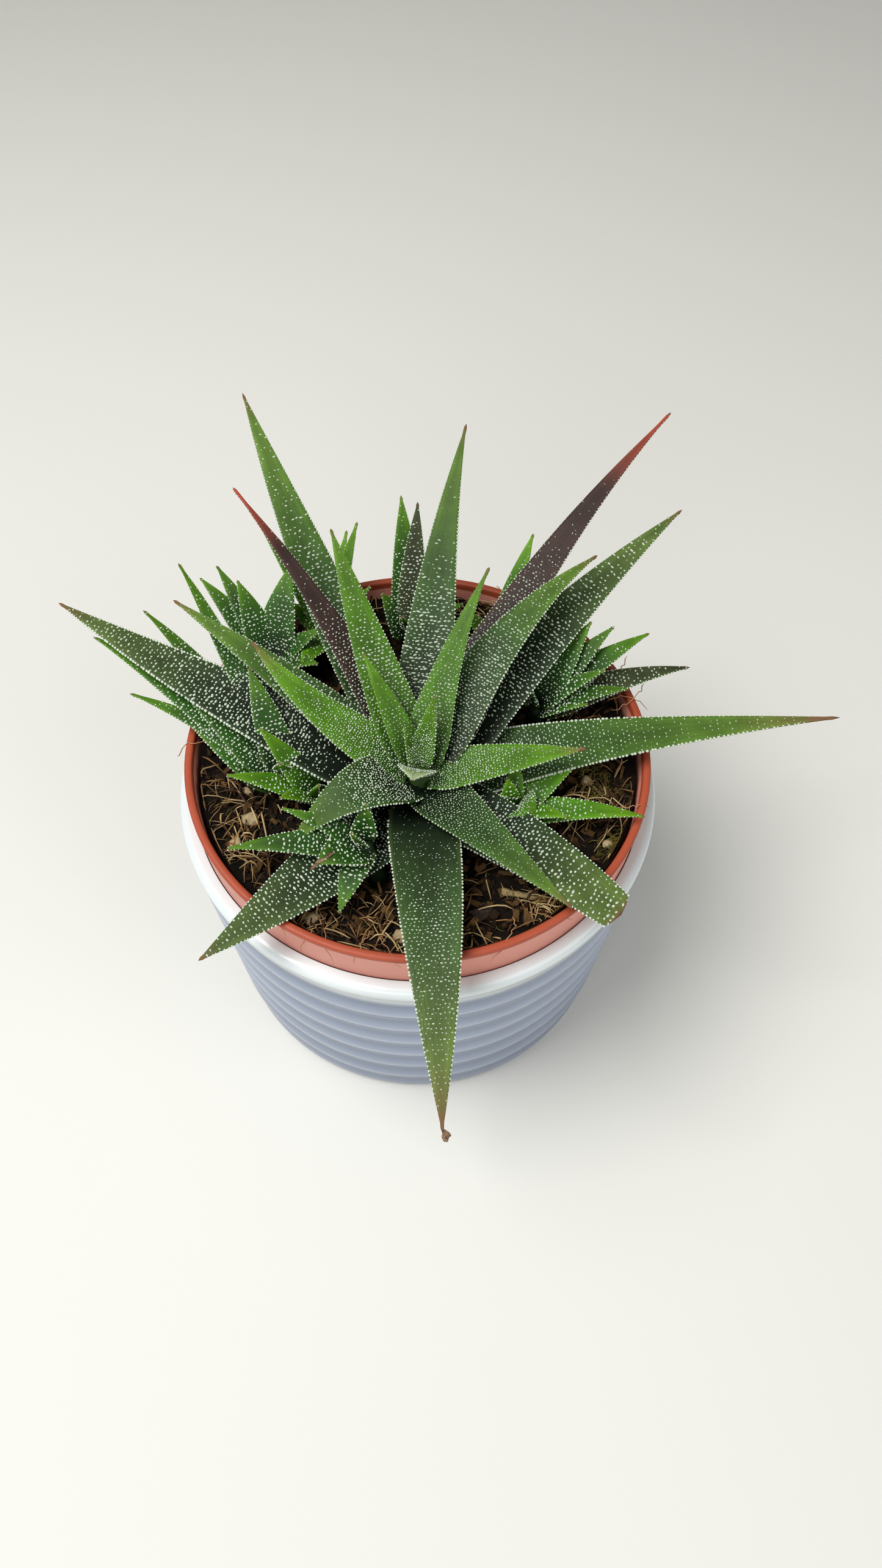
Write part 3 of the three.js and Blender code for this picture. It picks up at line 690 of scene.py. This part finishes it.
offsetStem = {"radius": 2.6, "foot": -8.5, "top": 1.5, "leafStep": 0.5}
heart = {"turn": 150, "reach": 3.5, "climb": 8, "width": 6}  # the youngest leaf of each
offsets = [  # each leaf: heading, reach, climb, width, and the arch of one that curls
    {"name": "left", "x": -34, "y": -7, "from": 5, "leaves": [
        (152, 30, 7, 17), (143, 67, 8, 12), (152, 47, 6, 7), (140, 40, 8, 14), (129, 67, 4, 8),
        (112, 24, 15, 10), (117, 72, 9, 7)]},
    {"name": "left_middle", "kind": "lime", "x": -26, "y": -12, "from": 4.5, "leaves": [
        (178, 22, 8, 8), (215, 10, 7, 7), (143, 17, 14, 9)]},
    {"name": "back_left", "x": -40, "y": 30, "from": 5, "leaves": [
        (134, 28.5, 13, 9), (65, 15, 8, 8), (122, 29.5, 12, 8), (15, 15, 9, 9),
        (-25, 15, 6, 10), (119, 17.5, 15, 10), (73, 20.5, 16, 12)]},
    {"name": "back_left_far", "kind": "lime", "x": -24, "y": 41, "from": 5, "leaves": [
        (160, 15, 8, 9), (30, 13, 12, 8), (130, 32, 20, 9), (-65, 27, 4, 12), (-112, 19, 5, 11),
        (75, 19, 19.5, 6), (68, 21, 21, 6)]},
    {"name": "back", "grey": (4,), "x": -2, "y": 41, "from": 5, "leaves": [
        (142, 10, 10, 11), (10, 15, 9, 9), (45, 18, 17, 7), (95, 25, 27, 10), (84, 23, 26, 9)]},
    {"name": "back_right", "kind": "lime", "x": 22, "y": 36, "from": 5, "leaves": [
        (5, 15, 8, 9), (150, 11, 9, 8), (51, 26, 13, 10), (66, 25, 19.5, 8)]},
    {"name": "right", "grey": (0,), "x": 32, "y": 14, "from": 5, "leaves": [
        (12, 42, 7, 11), (95, 16, 10, 9), (-20, 13, 7, 8), (-5, 23, 10, 8), (24, 32, 14, 10),
        (35, 24, 15.5, 9), (7, 17, 11.5, 7), (47, 20, 15.5, 10)]},
    {"name": "right_front", "kind": "lime", "x": 23, "y": -18, "from": 4.5, "leaves": [
        (-10, 33, 7, 9), (30, 20, 7, 9), (-75, 17, 6, 8), (80, 10, 8, 7), (-28, 15, 7, 7),
        (-43, 8, 1, 12, 5)]},
    {"name": "front_left", "x": -8, "y": -35, "lean": (-5.5, 5), "from": 9.5, "leaves": [
        (182, 33, 1, 9), (252, 18, -3, 9), (160, 21, 5, 6), (212, 13, 2, 13), (80, 6, 8, 7)]},
]
offsetLeaf = {"around": 20, "lengthwise": 26, "thick": 0.2, "start": 0.5, "arch": 0.08, "stemSides": 16,
              "curled": {"pitch": 0.75, "spread": 0.75, "size": 0.18}}


def buildOffsets():
    for number, plant in enumerate(offsets):
        rng = random.Random(seeds["offsets"] + number)
        name, kind, foot = plant["name"], plant.get("kind", "offset"), plant["from"]
        leanX, leanY = plant.get("lean", (0, 0))
        root = Vector((plant["x"], plant["y"], soilTop + offsetStem["foot"]))
        crown = Vector((plant["x"] + leanX, plant["y"] + leanY, soilTop + foot + offsetStem["top"]))
        skin, beads = bmesh.new(), []
        addStem(skin, root, crown, offsetStem["radius"], offsetLeaf["stemSides"])
        youngest = (plant["leaves"][-1][0] + heart["turn"], heart["reach"], heart["climb"], heart["width"])
        for k, (heading, reach, climb, width, *curl) in enumerate([*plant["leaves"], youngest]):
            plain = {"heading": heading, "reach": reach, "climb": climb, "width": width,
                     "from": foot + offsetStem["leafStep"] * k,
                     "arch": curl[0] if curl else offsetLeaf["arch"] * reach}
            leaf = shapeLeaf(plain, crown, offsetLeaf["thick"] * width, offsetLeaf["start"])
            leaf["tone"] = 2 if k in plant.get("grey", ()) else rng.random()
            addLeafSkin(skin, leaf, offsetLeaf["around"], offsetLeaf["lengthwise"])
            beads += leafBeads(leaf, {**beadLooks[kind], **(offsetLeaf["curled"] if curl else {})}, rng)
        closeSkin(skin)
        finishPiece(f"skin_offset_{name}", skin, leafMaterials[kind], (f"offset_{name}",))
        finishBeads(f"tubercles_offset_{name}", beads)
    print("offsets built:", len(offsets))


coverPot = {
    "height": 85, "radius": 63.5, "foot": 58.5, "wall": 3.8, "floor": 6, "straight": 14, "chamfer": 2,
    "rimBand": 4.4, "rimRound": 2.2, "ribPitch": 11.2, "ribDepth": 1.1, "ribs": 7, "steps": 168,
    "snug": 0.22,  # how much nearer the finished rim comes to the collar
}


def makeGlaze():
    material, tree, shader = newMaterial("glaze", Coat_Weight=0.3, Coat_Roughness=0.15)
    height = objectHeight(tree)
    clouds = mottleAt(tree, 7.0, 60.0, 0.9)
    pitch = coverPot["ribPitch"] * millimetre
    crest = (coverPot["height"] - coverPot["rimBand"]) * millimetre
    groove = crest - pitch / 2  # here the white rim gives way to the grey-blue body, which is partly the glaze's colour and partly painted shade
    turns = times(tree, maths(tree, "SUBTRACT", height, crest), math.tau / pitch)
    # grooves darker: the glaze pooled in them, and painted shade between the ribs
    pooledAndShaded = times(tree, maths(tree, "SUBTRACT", 1.0, maths(tree, "COSINE", turns)), 0.5)
    body = blend(tree, times(tree, pooledAndShaded, 0.7), linear(160, 173, 198), linear(102, 116, 138))
    # painted shade: the body darker towards the bottom
    body = blend(tree, ramp(tree, height, 0.05, 0.0, 0.0, 0.35), body, linear(98, 108, 126))
    body = blend(tree, times(tree, clouds["Blotch"], 0.12), body, linear(146, 157, 182))
    # white rim above the groove; the body below it is darker partly from painted shade
    colour = blend(tree, ramp(tree, height, groove - 0.001, groove + 0.0025), body, linear(226, 236, 239))
    dressShader(tree, shader, colour, ramp(tree, clouds["Grain"], 0.0, 1.0, 0.22, 0.28),
                (clouds["Blotch"], 0.04, 0.0004))
    return material


def coverPotOutline():
    pot = coverPot

    def sideAt(z):
        return pot["foot"] + (pot["radius"] - pot["foot"]) * z / pot["height"]

    crest = pot["height"] - pot["rimBand"]
    lowest = crest - (pot["ribs"] - 0.5) * pot["ribPitch"]
    outline = [(0, 0), (pot["foot"] - 6, 0), (pot["foot"] - 2.6, 0), (pot["foot"] - 2, 0.4),
               (pot["foot"] - 1.5, 1.4)]
    z = 3.0
    while z < crest:
        depth = 0.5 - 0.5 * math.cos(math.tau * (z - crest) / pot["ribPitch"])
        foot = max(0, 1 - z / lowest)
        outline.append((sideAt(z) - pot["ribDepth"] * depth - 1.1 * foot ** 2, z))
        z += pot["ribPitch"] / 14
    outline.append((sideAt(crest) + 0.05, crest))
    for k in range(11):  # outer rounding of the rim
        turn = math.pi / 2 * k / 10
        outline.append((pot["radius"] - pot["rimRound"] * (1 - math.cos(turn)),
                        pot["height"] - pot["rimRound"] * (1 - math.sin(turn))))
    lipInner = pot["radius"] - pot["wall"] - pot["snug"]
    inner = pot["foot"] - pot["wall"]
    outline += [(lipInner + 0.2, pot["height"]), (lipInner + 0.05, pot["height"] - 0.05),
                (lipInner, pot["height"] - 0.2), (lipInner, pot["height"] - pot["straight"]),
                (inner - 1, pot["floor"] + 6), (inner - 3.5, pot["floor"] + 1.6), (inner - 7, pot["floor"]),
                (0, pot["floor"])]
    return outline


nurseryPot = {
    "lip": 60, "height": 97.5, "collar": 59.4, "drop": 13, "wall": 1.2, "neck": 57.4, "foot": 45,
    "bottom": 6.3, "holes": 6, "holeRadius": 3.5, "holeCircle": 36, "holeDepth": 6, "steps": 168,
    "lipBand": 2.4,
}


def makePotPlastic():
    material, tree, shader = newMaterial("terracotta_plastic", Specular_IOR_Level=0.4)
    patchy = mottleAt(tree, 45.0, 1800.0, 0.6)
    lip = (nurseryPot["height"] - nurseryPot["lipBand"]) * millimetre
    # painted sheen: the collar below the lip band is a paler pink than the plastic's own colour, which the
    # lip keeps
    collar = blend(tree, patchy["Blotch"], linear(230, 148, 130), linear(240, 164, 147))
    rim = blend(tree, patchy["Blotch"], linear(164, 70, 44), linear(178, 84, 56))
    colour = blend(tree, ramp(tree, objectHeight(tree), lip, lip + 0.0005), collar, rim)
    dusty = noiseAt(tree, objectSpot(tree), Scale=260.0, Detail=6.0, Roughness=0.7)
    colour = blend(tree, ramp(tree, dusty, 0.6, 0.74, 0.0, 0.3), colour, linear(196, 132, 108))
    dressShader(tree, shader, colour, ramp(tree, patchy["Grain"], 0.0, 1.0, 0.4, 0.55),
                (patchy["Height"], 0.15, 0.0002))
    return material


def nurseryOutline():
    pot = nurseryPot
    step = pot["height"] - pot["drop"]
    inner = pot["collar"] - pot["wall"] - 0.8
    top = pot["height"]
    return [
        (0, pot["bottom"]), (pot["foot"] - 1, pot["bottom"]), (pot["foot"], pot["bottom"] + 0.8),
        (pot["neck"], step - 0.2), (pot["neck"] + 0.2, step), (pot["collar"] - 0.3, step),
        (pot["collar"] - 0.1, step + 0.2), (pot["collar"], top - 2.2), (pot["lip"] - 0.2, top - 1.8),
        (pot["lip"], top - 1.4), (pot["lip"], top - 0.6), (pot["lip"] - 0.2, top - 0.15),
        (pot["lip"] - 0.6, top), (pot["lip"] - 1.5, top),
        (pot["lip"] - 1.9, top - 0.2), (pot["lip"] - 2.05, top - 0.7),
        (inner, step + 1), (inner - 0.5, step - 0.2), (pot["neck"] - pot["wall"], step - 0.8),
        (pot["foot"] - pot["wall"], pot["bottom"] + pot["wall"] + 0.6),
        (pot["foot"] - pot["wall"] - 0.8, pot["bottom"] + pot["wall"]), (0, pot["bottom"] + pot["wall"]),
    ]


def drill(piece, cutter):  # subtracts the cutter for good and removes it
    modifier = piece.modifiers.new("holes", "BOOLEAN")
    modifier.operation = "DIFFERENCE"
    modifier.solver = "EXACT"
    modifier.object = cutter
    bpy.context.view_layer.update()
    result = bpy.data.meshes.new_from_object(piece.evaluated_get(bpy.context.evaluated_depsgraph_get()))
    piece.modifiers.clear()
    piece.data = result
    bpy.data.objects.remove(cutter)


def buildPots():
    finishPiece("cover_pot_glazed", spinProfile(coverPotOutline(), coverPot["steps"]), makeGlaze(),
                ("cover_pot",))
    pot = finishPiece("nursery_pot_moulded", spinProfile(nurseryOutline(), nurseryPot["steps"]),
                      makePotPlastic(), ("nursery_pot",))
    bm = bmesh.new()
    radius = nurseryPot["holeRadius"]
    for k in range(nurseryPot["holes"]):
        turn = math.tau * k / nurseryPot["holes"]
        out = Vector((math.cos(turn), math.sin(turn), 0))
        spot = Matrix.Translation(out * nurseryPot["holeCircle"] + up * nurseryPot["bottom"])
        bmesh.ops.create_cone(bm, cap_ends=True, segments=24, radius1=radius, radius2=radius,
                              depth=nurseryPot["holeDepth"], matrix=spot)
    toMetres(bm)
    drill(pot, meshObject("drain_cutter", bm))
    print("pots built")


soil = {"edge": 56.8, "swell": 1.0, "rise": 4.0, "inner": 57.4, "crumble": 1.2, "steps": 200, "rings": 64,
        "shoulder": 86.5, "topFrom": 88, "crumbs": 3400, "flakes": 520}


def soilHeight(x, y):
    swell = math.sin(x / 9 + 1.3) * math.cos(y / 11 - 0.4) + 0.45 * math.sin(x / 3.7 - y / 4.3)
    dish = min(1, math.hypot(x, y) / soil["inner"]) ** 5
    return soilTop + soil["swell"] * swell + soil["rise"] * dish


def crumbleAt(x, y):
    big = noise.noise(Vector((x / 3.2, y / 3.2, 4.0)))
    small = noise.noise(Vector((x / 1.1, y / 1.1, 9.0)))
    return soil["crumble"] * (big + 0.6 * small)


def soilSpot(rng, share=1.0):  # an even spread over the soil
    radius, turn = soil["edge"] * math.sqrt(rng.random()) * share, rng.uniform(0, math.tau)
    return radius * math.cos(turn), radius * math.sin(turn)


def crumbledTop(x, y):
    return soilHeight(x, y) + crumbleAt(x, y)


def addCrumb(part, rng):
    x, y = soilSpot(rng, 0.97)
    size = rng.uniform(0.35, 1.1) * (1.8 if rng.random() < 0.08 else 1)
    angle = rng.uniform(0, math.pi)
    spin = Matrix.Rotation(angle, 4, Vector((rng.random(), rng.random(), rng.random() + 0.1)))
    matrix = Matrix.Translation((x, y, crumbledTop(x, y) + 0.15 * size)) @ spin
    matrix = matrix @ Matrix.Diagonal((size, size * rng.uniform(0.6, 1), size * rng.uniform(0.45, 0.8), 1))
    for vert in bmesh.ops.create_icosphere(part, subdivisions=1, radius=1, matrix=matrix)["verts"]:
        vert.co += noise.noise_vector(vert.co * 1.3) * 0.25 * size


def addFlake(part, rng):
    x, y = soilSpot(rng, 0.95)
    lie = Matrix.Rotation(rng.uniform(0, math.tau), 4, "Z") @ Matrix.Rotation(rng.gauss(0, 0.35), 4, "Y")
    size = (rng.uniform(1.2, 4.5), rng.uniform(0.5, 1.6), rng.uniform(0.2, 0.5), 1)
    spot = Matrix.Translation((x, y, crumbledTop(x, y) + rng.uniform(0.3, 1.1)))
    for vert in bmesh.ops.create_cube(part, size=1, matrix=spot @ lie @ Matrix.Diagonal(size))["verts"]:
        vert.co += noise.noise_vector(vert.co * 0.9) * 0.35


def buildSoil():
    outline = [(soil["edge"] * k / soil["rings"], soilTop) for k in range(soil["rings"] + 1)]
    outline += [(soil["edge"], soil["shoulder"]), (55.6, 83.5), (42.6, 7.8), (0, 7.8)]
    bm = spinProfile(outline, soil["steps"])
    for vert in bm.verts:
        if vert.co.z > soil["topFrom"]:
            vert.co.z = crumbledTop(vert.co.x, vert.co.y)
    finishPiece("soil_surface", bm, makeTwoTone("peat", "crumbly", (9, 7, 5), (36, 26, 17), 240.0, 1600.0),
                ("soil",))
    rng = random.Random(seeds["soil"])
    crumbs = scatter(soil["crumbs"], addCrumb, rng)
    peat = makeTwoTone("peat_crumb", "crumbly", (18, 13, 9), (74, 52, 30), 420.0, 2400.0)
    finishPiece("soil_crumbs", crumbs, peat, smooth=False)
    flakes = scatter(soil["flakes"], addFlake, rng)
    wood = makeTwoTone("flake", "crumbly", (30, 20, 12), (136, 102, 60), 130.0, 2000.0)
    finishPiece("bark_flakes", flakes, wood, smooth=False)
    print("soil built")


def fibre(rng, x, y, length, lift, curl):  # a strand that lies on the soil
    turn = rng.uniform(0, math.tau)
    bend = rng.gauss(0, curl)
    count = max(4, round(length / 1.8))
    step = length / (count - 1)
    points = []
    high = rng.uniform(0.2, lift)
    for k in range(count):
        if math.hypot(x, y) > soil["edge"] - 0.6:
            shrink = (soil["edge"] - 0.6) / math.hypot(x, y)
            x, y = x * shrink, y * shrink
        arch = math.sin(math.pi * k / (count - 1))
        points.append((x, y, soilHeight(x, y) + 0.5 + high * arch + rng.uniform(-0.15, 0.25)))
        turn += bend + rng.gauss(0, curl)
        x += step * math.cos(turn)
        y += step * math.sin(turn)
    return points


coirPatches = [(-47, -12, 9), (-44, -24, 9), (-28, -44, 9), (-10, -48, 9), (10, -50, 9), (30, -42, 9),
               (47, -15, 8), (46, 8, 8), (48, 24, 7), (-20, 50, 8), (14, 50, 8), (-52, 14, 7)]
mossPatches = [(48, -28, 4), (47, -10, 5), (40, -37, 4), (44, -3, 4), (36, -44, 4), (-50, 20, 5), (24, 48, 4)]
coirKinds = [  # curl: how much a strand bends at each of its steps
    {"name": "coir_tan", "dark": (96, 66, 36), "pale": (176, 136, 84), "count": 380, "radius": (0.08, 0.26),
     "length": (2, 8), "curl": 0.08, "lift": 1.6, "patches": coirPatches},
    {"name": "coir_brown", "dark": (44, 29, 17), "pale": (88, 58, 33), "count": 360, "radius": (0.1, 0.34),
     "length": (2, 7), "curl": 0.08, "lift": 1.6, "patches": coirPatches},
    {"name": "coir_pale", "dark": (150, 122, 80), "pale": (214, 190, 140), "count": 330,
     "radius": (0.07, 0.24), "length": (2, 11), "curl": 0.1, "lift": 2.2, "patches": coirPatches},
    {"name": "moss", "dark": (58, 54, 18), "pale": (136, 128, 52), "count": 760, "radius": (0.05, 0.13),
     "length": (1.2, 4), "curl": 0.45, "lift": 1.6, "patches": mossPatches},
]


rimHairSteps = 10
rimHairs = [  # angle at the rim, reach past the lip, drop below it, drift round the rim, radius
    (-125, 1.0, 6, 4, 0.12), (-115, 0.7, 12, -3, 0.13), (-113, 0.9, 9, 3, 0.1), (-103, 0.6, 6, -2, 0.12),
    (-99, 0.8, 4, 5, 0.1), (-66, 0.9, 7, -9, 0.13), (-60, 0.7, 4, 6, 0.1), (178, 2.5, 5, 3, 0.14),
    (174, 1.6, 3, -5, 0.1), (22, 3.0, -2, 4, 0.14), (17, 2.4, 3, -6, 0.12), (13, 4.0, 1, 5, 0.13),
    (64, 1.5, 3, 4, 0.12), (118, 1.2, 4, -4, 0.12), (-20, 0.8, 4, 3, 0.1),
]


def coirMaterial(name, dark, pale):
    return makeTwoTone(name, "fibrous", dark, pale, 90.0, 1400.0)


inPatches = 0.7  # share of the strands that lie round the patches


def buildCoir():
    for number, kind in enumerate(coirKinds):
        rng = random.Random(seeds["coir"] + number)
        strands = []
        for k in range(kind["count"]):
            if rng.random() < inPatches:
                x, y, spread = rng.choice(kind["patches"])
                x, y = x + rng.gauss(0, spread * 0.5), y + rng.gauss(0, spread * 0.5)
            else:
                x, y = soilSpot(rng)
            points = fibre(rng, x, y, rng.uniform(*kind["length"]), kind["lift"], kind["curl"])
            strands.append((points, rng.uniform(*kind["radius"])))
        curvePiece(kind["name"], strands, coirMaterial(kind["name"], kind["dark"], kind["pale"]))

    rng = random.Random(seeds["hairs"])
    strands = []
    for angle, beyond, drop, drift, radius in rimHairs:
        points = []
        for k in range(rimHairSteps + 1):
            share = k / rimHairSteps
            turn = math.radians(angle + drift * share ** 2 + rng.uniform(-0.6, 0.6))
            out = nurseryPot["lip"] - 7 + (7 + beyond) * share ** 0.8
            rise = nurseryPot["height"] + 1.2 - 2.5 * (1 - share) ** 2 - drop * max(0, share - 0.5) ** 1.3 * 2
            points.append((out * math.cos(turn), out * math.sin(turn), rise))
        strands.append((points, radius))
    curvePiece("root_hairs", strands, coirMaterial("root_hair", (156, 104, 70), (206, 160, 118)))
    print("coir laid")


pebbles = [(-43, -17, 2.1), (-46, -25, 1.9), (-26, -46, 2.2), (-4, -51, 2.4), (-44, -9, 1.5), (44, -7, 1.8),
           (47, -27, 1.6)]
pebbleForm = {"breadth": 0.85, "height": 0.7, "lift": 0.2}  # shares of its radius
barkChip = {"x": 15, "y": -45, "length": 6, "width": 3.4, "height": 2.2, "turn": 35, "tilt": 0.2, "lift": 0.4}
stick = {"x": 24.2, "y": -40, "length": 8.5, "radius": 0.9, "thinEnd": 0.8, "turn": -13, "lift": 0.5}


def lieOnSoil(bit, lift):  # where it lies, and its turn about the upright
    spot = Matrix.Translation((bit["x"], bit["y"], soilHeight(bit["x"], bit["y"]) + lift))
    return spot @ Matrix.Rotation(math.radians(bit["turn"]), 4, "Z")


def buildStones():
    bm = bmesh.new()
    shape = Matrix.Diagonal((1, pebbleForm["breadth"], pebbleForm["height"], 1))
    for x, y, radius in pebbles:
        middle = Vector((x, y, soilHeight(x, y) + pebbleForm["lift"] * radius))
        matrix = Matrix.Translation(middle) @ Matrix.Rotation(x + y, 4, "Z") @ shape
        for vert in bmesh.ops.create_icosphere(bm, subdivisions=4, radius=radius, matrix=matrix)["verts"]:
            vert.co += (vert.co - middle) * 0.35 * noise.noise(vert.co * 0.55)
    stone = makeTwoTone("pebble", "stony", (150, 124, 82), (206, 192, 154), 300.0, 1500.0, (122, 98, 62))
    finishPiece("pebbles", bm, stone, [f"pebble_{k + 1}" for k in range(len(pebbles))])

    chip = bmesh.new()
    box = Matrix.Diagonal((barkChip["length"], barkChip["width"], barkChip["height"], 1))
    bmesh.ops.create_cube(chip, size=1, matrix=box)
    bmesh.ops.subdivide_edges(chip, edges=chip.edges[:], cuts=7, use_grid_fill=True)
    for vert in chip.verts:
        grain = Vector((vert.co.x * 0.35, vert.co.y * 1.1, vert.co.z * 1.1))
        vert.co += noise.noise_vector(grain) * 0.55
    lie = lieOnSoil(barkChip, barkChip["lift"]) @ Matrix.Rotation(barkChip["tilt"], 4, "Y")
    bmesh.ops.transform(chip, matrix=lie, verts=chip.verts)
    bark = makeTwoTone("bark", "crumbly", (24, 18, 15), (78, 66, 58), 300.0, 1800.0)
    finishPiece("bark_chip_rough", chip, bark, ("bark_chip",))

    rod = bmesh.new()
    lie = lieOnSoil(stick, stick["lift"] * stick["radius"]) @ Matrix.Rotation(math.pi / 2, 4, "Y")
    bmesh.ops.create_cone(rod, cap_ends=True, segments=14, radius1=stick["radius"],
                          radius2=stick["thinEnd"] * stick["radius"], depth=stick["length"], matrix=lie)
    bmesh.ops.subdivide_edges(rod, edges=[e for e in rod.edges if e.calc_length() > 2], cuts=12)
    for vert in rod.verts:
        vert.co += noise.noise_vector(vert.co * 0.8) * 0.22
    straw = makeTwoTone("stick", "crumbly", (120, 100, 62), (186, 168, 122), 400.0, 1800.0)
    finishPiece("pale_stick_rough", rod, straw, ("pale_stick",))


dryBits = [  # ends of its line and its width
    {"from": (4.9, -96.6, 91.0), "to": (5.3, -98.6, 90.2), "width": 1.4},
    {"from": (4.6, -96.2, 91.2), "to": (6.2, -97.6, 90.8), "width": 0.9},
    {"from": (-24.6, -37.0, 102.3), "to": (-21.8, -35.6, 102.7), "width": 0.9},
    {"from": (-21.9, -35.7, 102.7), "to": (-20.3, -33.8, 102.6), "width": 0.7},
    {"from": (-24.2, -36.8, 102.2), "to": (-25.6, -38.3, 101.7), "width": 0.7},
]
shredHalfThick = 0.18


def buildDryBits():  # curled brown shreds of dead leaf
    rng = random.Random(seeds["shreds"])
    bm = bmesh.new()
    for bit in dryBits:
        start, end = Vector(bit["from"]), Vector(bit["to"])
        way = end - start
        lie = way.to_track_quat("X", "Z").to_matrix().to_4x4()
        size = Matrix.Diagonal((way.length / 2, bit["width"] / 2, shredHalfThick, 1))
        matrix = Matrix.Translation((start + end) / 2) @ lie @ size
        for vert in bmesh.ops.create_icosphere(bm, subdivisions=3, radius=1, matrix=matrix)["verts"]:
            vert.co += noise.noise_vector(vert.co * 0.9 + Vector((0, 0, rng.random() * 9))) * 0.4
    shred = makeTwoTone("dry_leaf", "crumbly", (118, 84, 58), (204, 176, 146), 500.0, 2400.0)
    finishPiece("dry_shreds", bm, shred)


buildPots()
buildSoil()
buildCoir()
buildStones()
buildMainLeaves()
buildBud()
buildOffsets()
buildDryBits()


stage = {"size": 4.0, "wallAt": 1.3, "bend": 0.5, "bendSteps": 12}


def buildStage():
    paper, *_ = newMaterial("studio_paper", Base_Color=linear(232, 232, 227), Roughness=0.9)
    bm = bmesh.new()  # floor, a quarter bend, then the wall behind
    points = [(-stage["size"], 0)]
    for k in range(stage["bendSteps"] + 1):
        turn = math.pi / 2 * k / stage["bendSteps"]
        points.append((stage["wallAt"] + stage["bend"] * math.sin(turn),
                       stage["bend"] * (1 - math.cos(turn))))
    points.append((stage["wallAt"] + stage["bend"], stage["size"]))
    low = [bm.verts.new((-stage["size"], y, z)) for y, z in points]
    edges = [bm.edges.new(pair) for pair in zip(low, low[1:])]
    made = bmesh.ops.extrude_edge_only(bm, edges=edges)["geom"]
    bmesh.ops.translate(bm, vec=(2 * stage["size"], 0, 0),
                        verts=[v for v in made if isinstance(v, bmesh.types.BMVert)])
    meshObject("studio_sweep", bm, paper, smooth=True)


lamps = [  # place in metres, size, watts
    {"name": "window", "at": (-0.45, -0.1, 1.0), "size": 0.7, "power": 10.2, "tint": (1.0, 0.985, 0.96)},
    {"name": "fill", "at": (0.7, -0.55, 0.8), "size": 0.9, "power": 3.4, "tint": (1.0, 0.99, 0.97)},
    {"name": "front", "at": (-0.3, -0.9, 0.6), "size": 0.6, "power": 2.0, "tint": (1.0, 0.99, 0.98)},
]


def buildLights():
    target = Vector((0, 0, 0.08))
    for lamp in lamps:
        data = bpy.data.lights.new(lamp["name"], "AREA")
        data.shape = "DISK"
        data.size = lamp["size"]
        data.energy = lamp["power"]
        data.color = lamp["tint"]
        light = addToScene(lamp["name"], data)
        light.location = lamp["at"]
        light.rotation_mode = "QUATERNION"
        light.rotation_quaternion = (target - Vector(lamp["at"])).to_track_quat("-Z", "Y")
    world = bpy.data.worlds.new("studio")
    world.use_nodes = True
    background = world.node_tree.nodes["Background"]
    background.inputs[0].default_value = linear(240, 240, 238)
    background.inputs[1].default_value = 0.2
    bpy.context.scene.world = world
    bpy.context.scene.view_settings.view_transform = "Standard"


photoView = {"place": (0, -161.3, 327.8), "down": 56.97, "yaw": 2.16, "roll": 1.34, "lens": 24.96}


def buildCamera():
    down, yaw, roll = (math.radians(photoView[key]) for key in ("down", "yaw", "roll"))
    ahead = Vector((math.sin(yaw) * math.cos(down), math.cos(yaw) * math.cos(down), -math.sin(down)))
    level = Vector((math.cos(yaw), -math.sin(yaw), 0))
    above = level.cross(ahead)
    right = level * math.cos(roll) + above * math.sin(roll)
    top = above * math.cos(roll) - level * math.sin(roll)
    data = bpy.data.cameras.new("photo_view")
    data.lens = photoView["lens"]
    data.sensor_width = 36
    data.clip_start = 0.01
    camera = addToScene("photo_view", data)
    turn = Matrix((right, top, -ahead)).transposed().to_4x4()
    camera.matrix_world = Matrix.Translation(Vector(photoView["place"]) * millimetre) @ turn
    bpy.context.scene.camera = camera


buildStage()
buildLights()
buildCamera()
print("stage, lights and camera set")
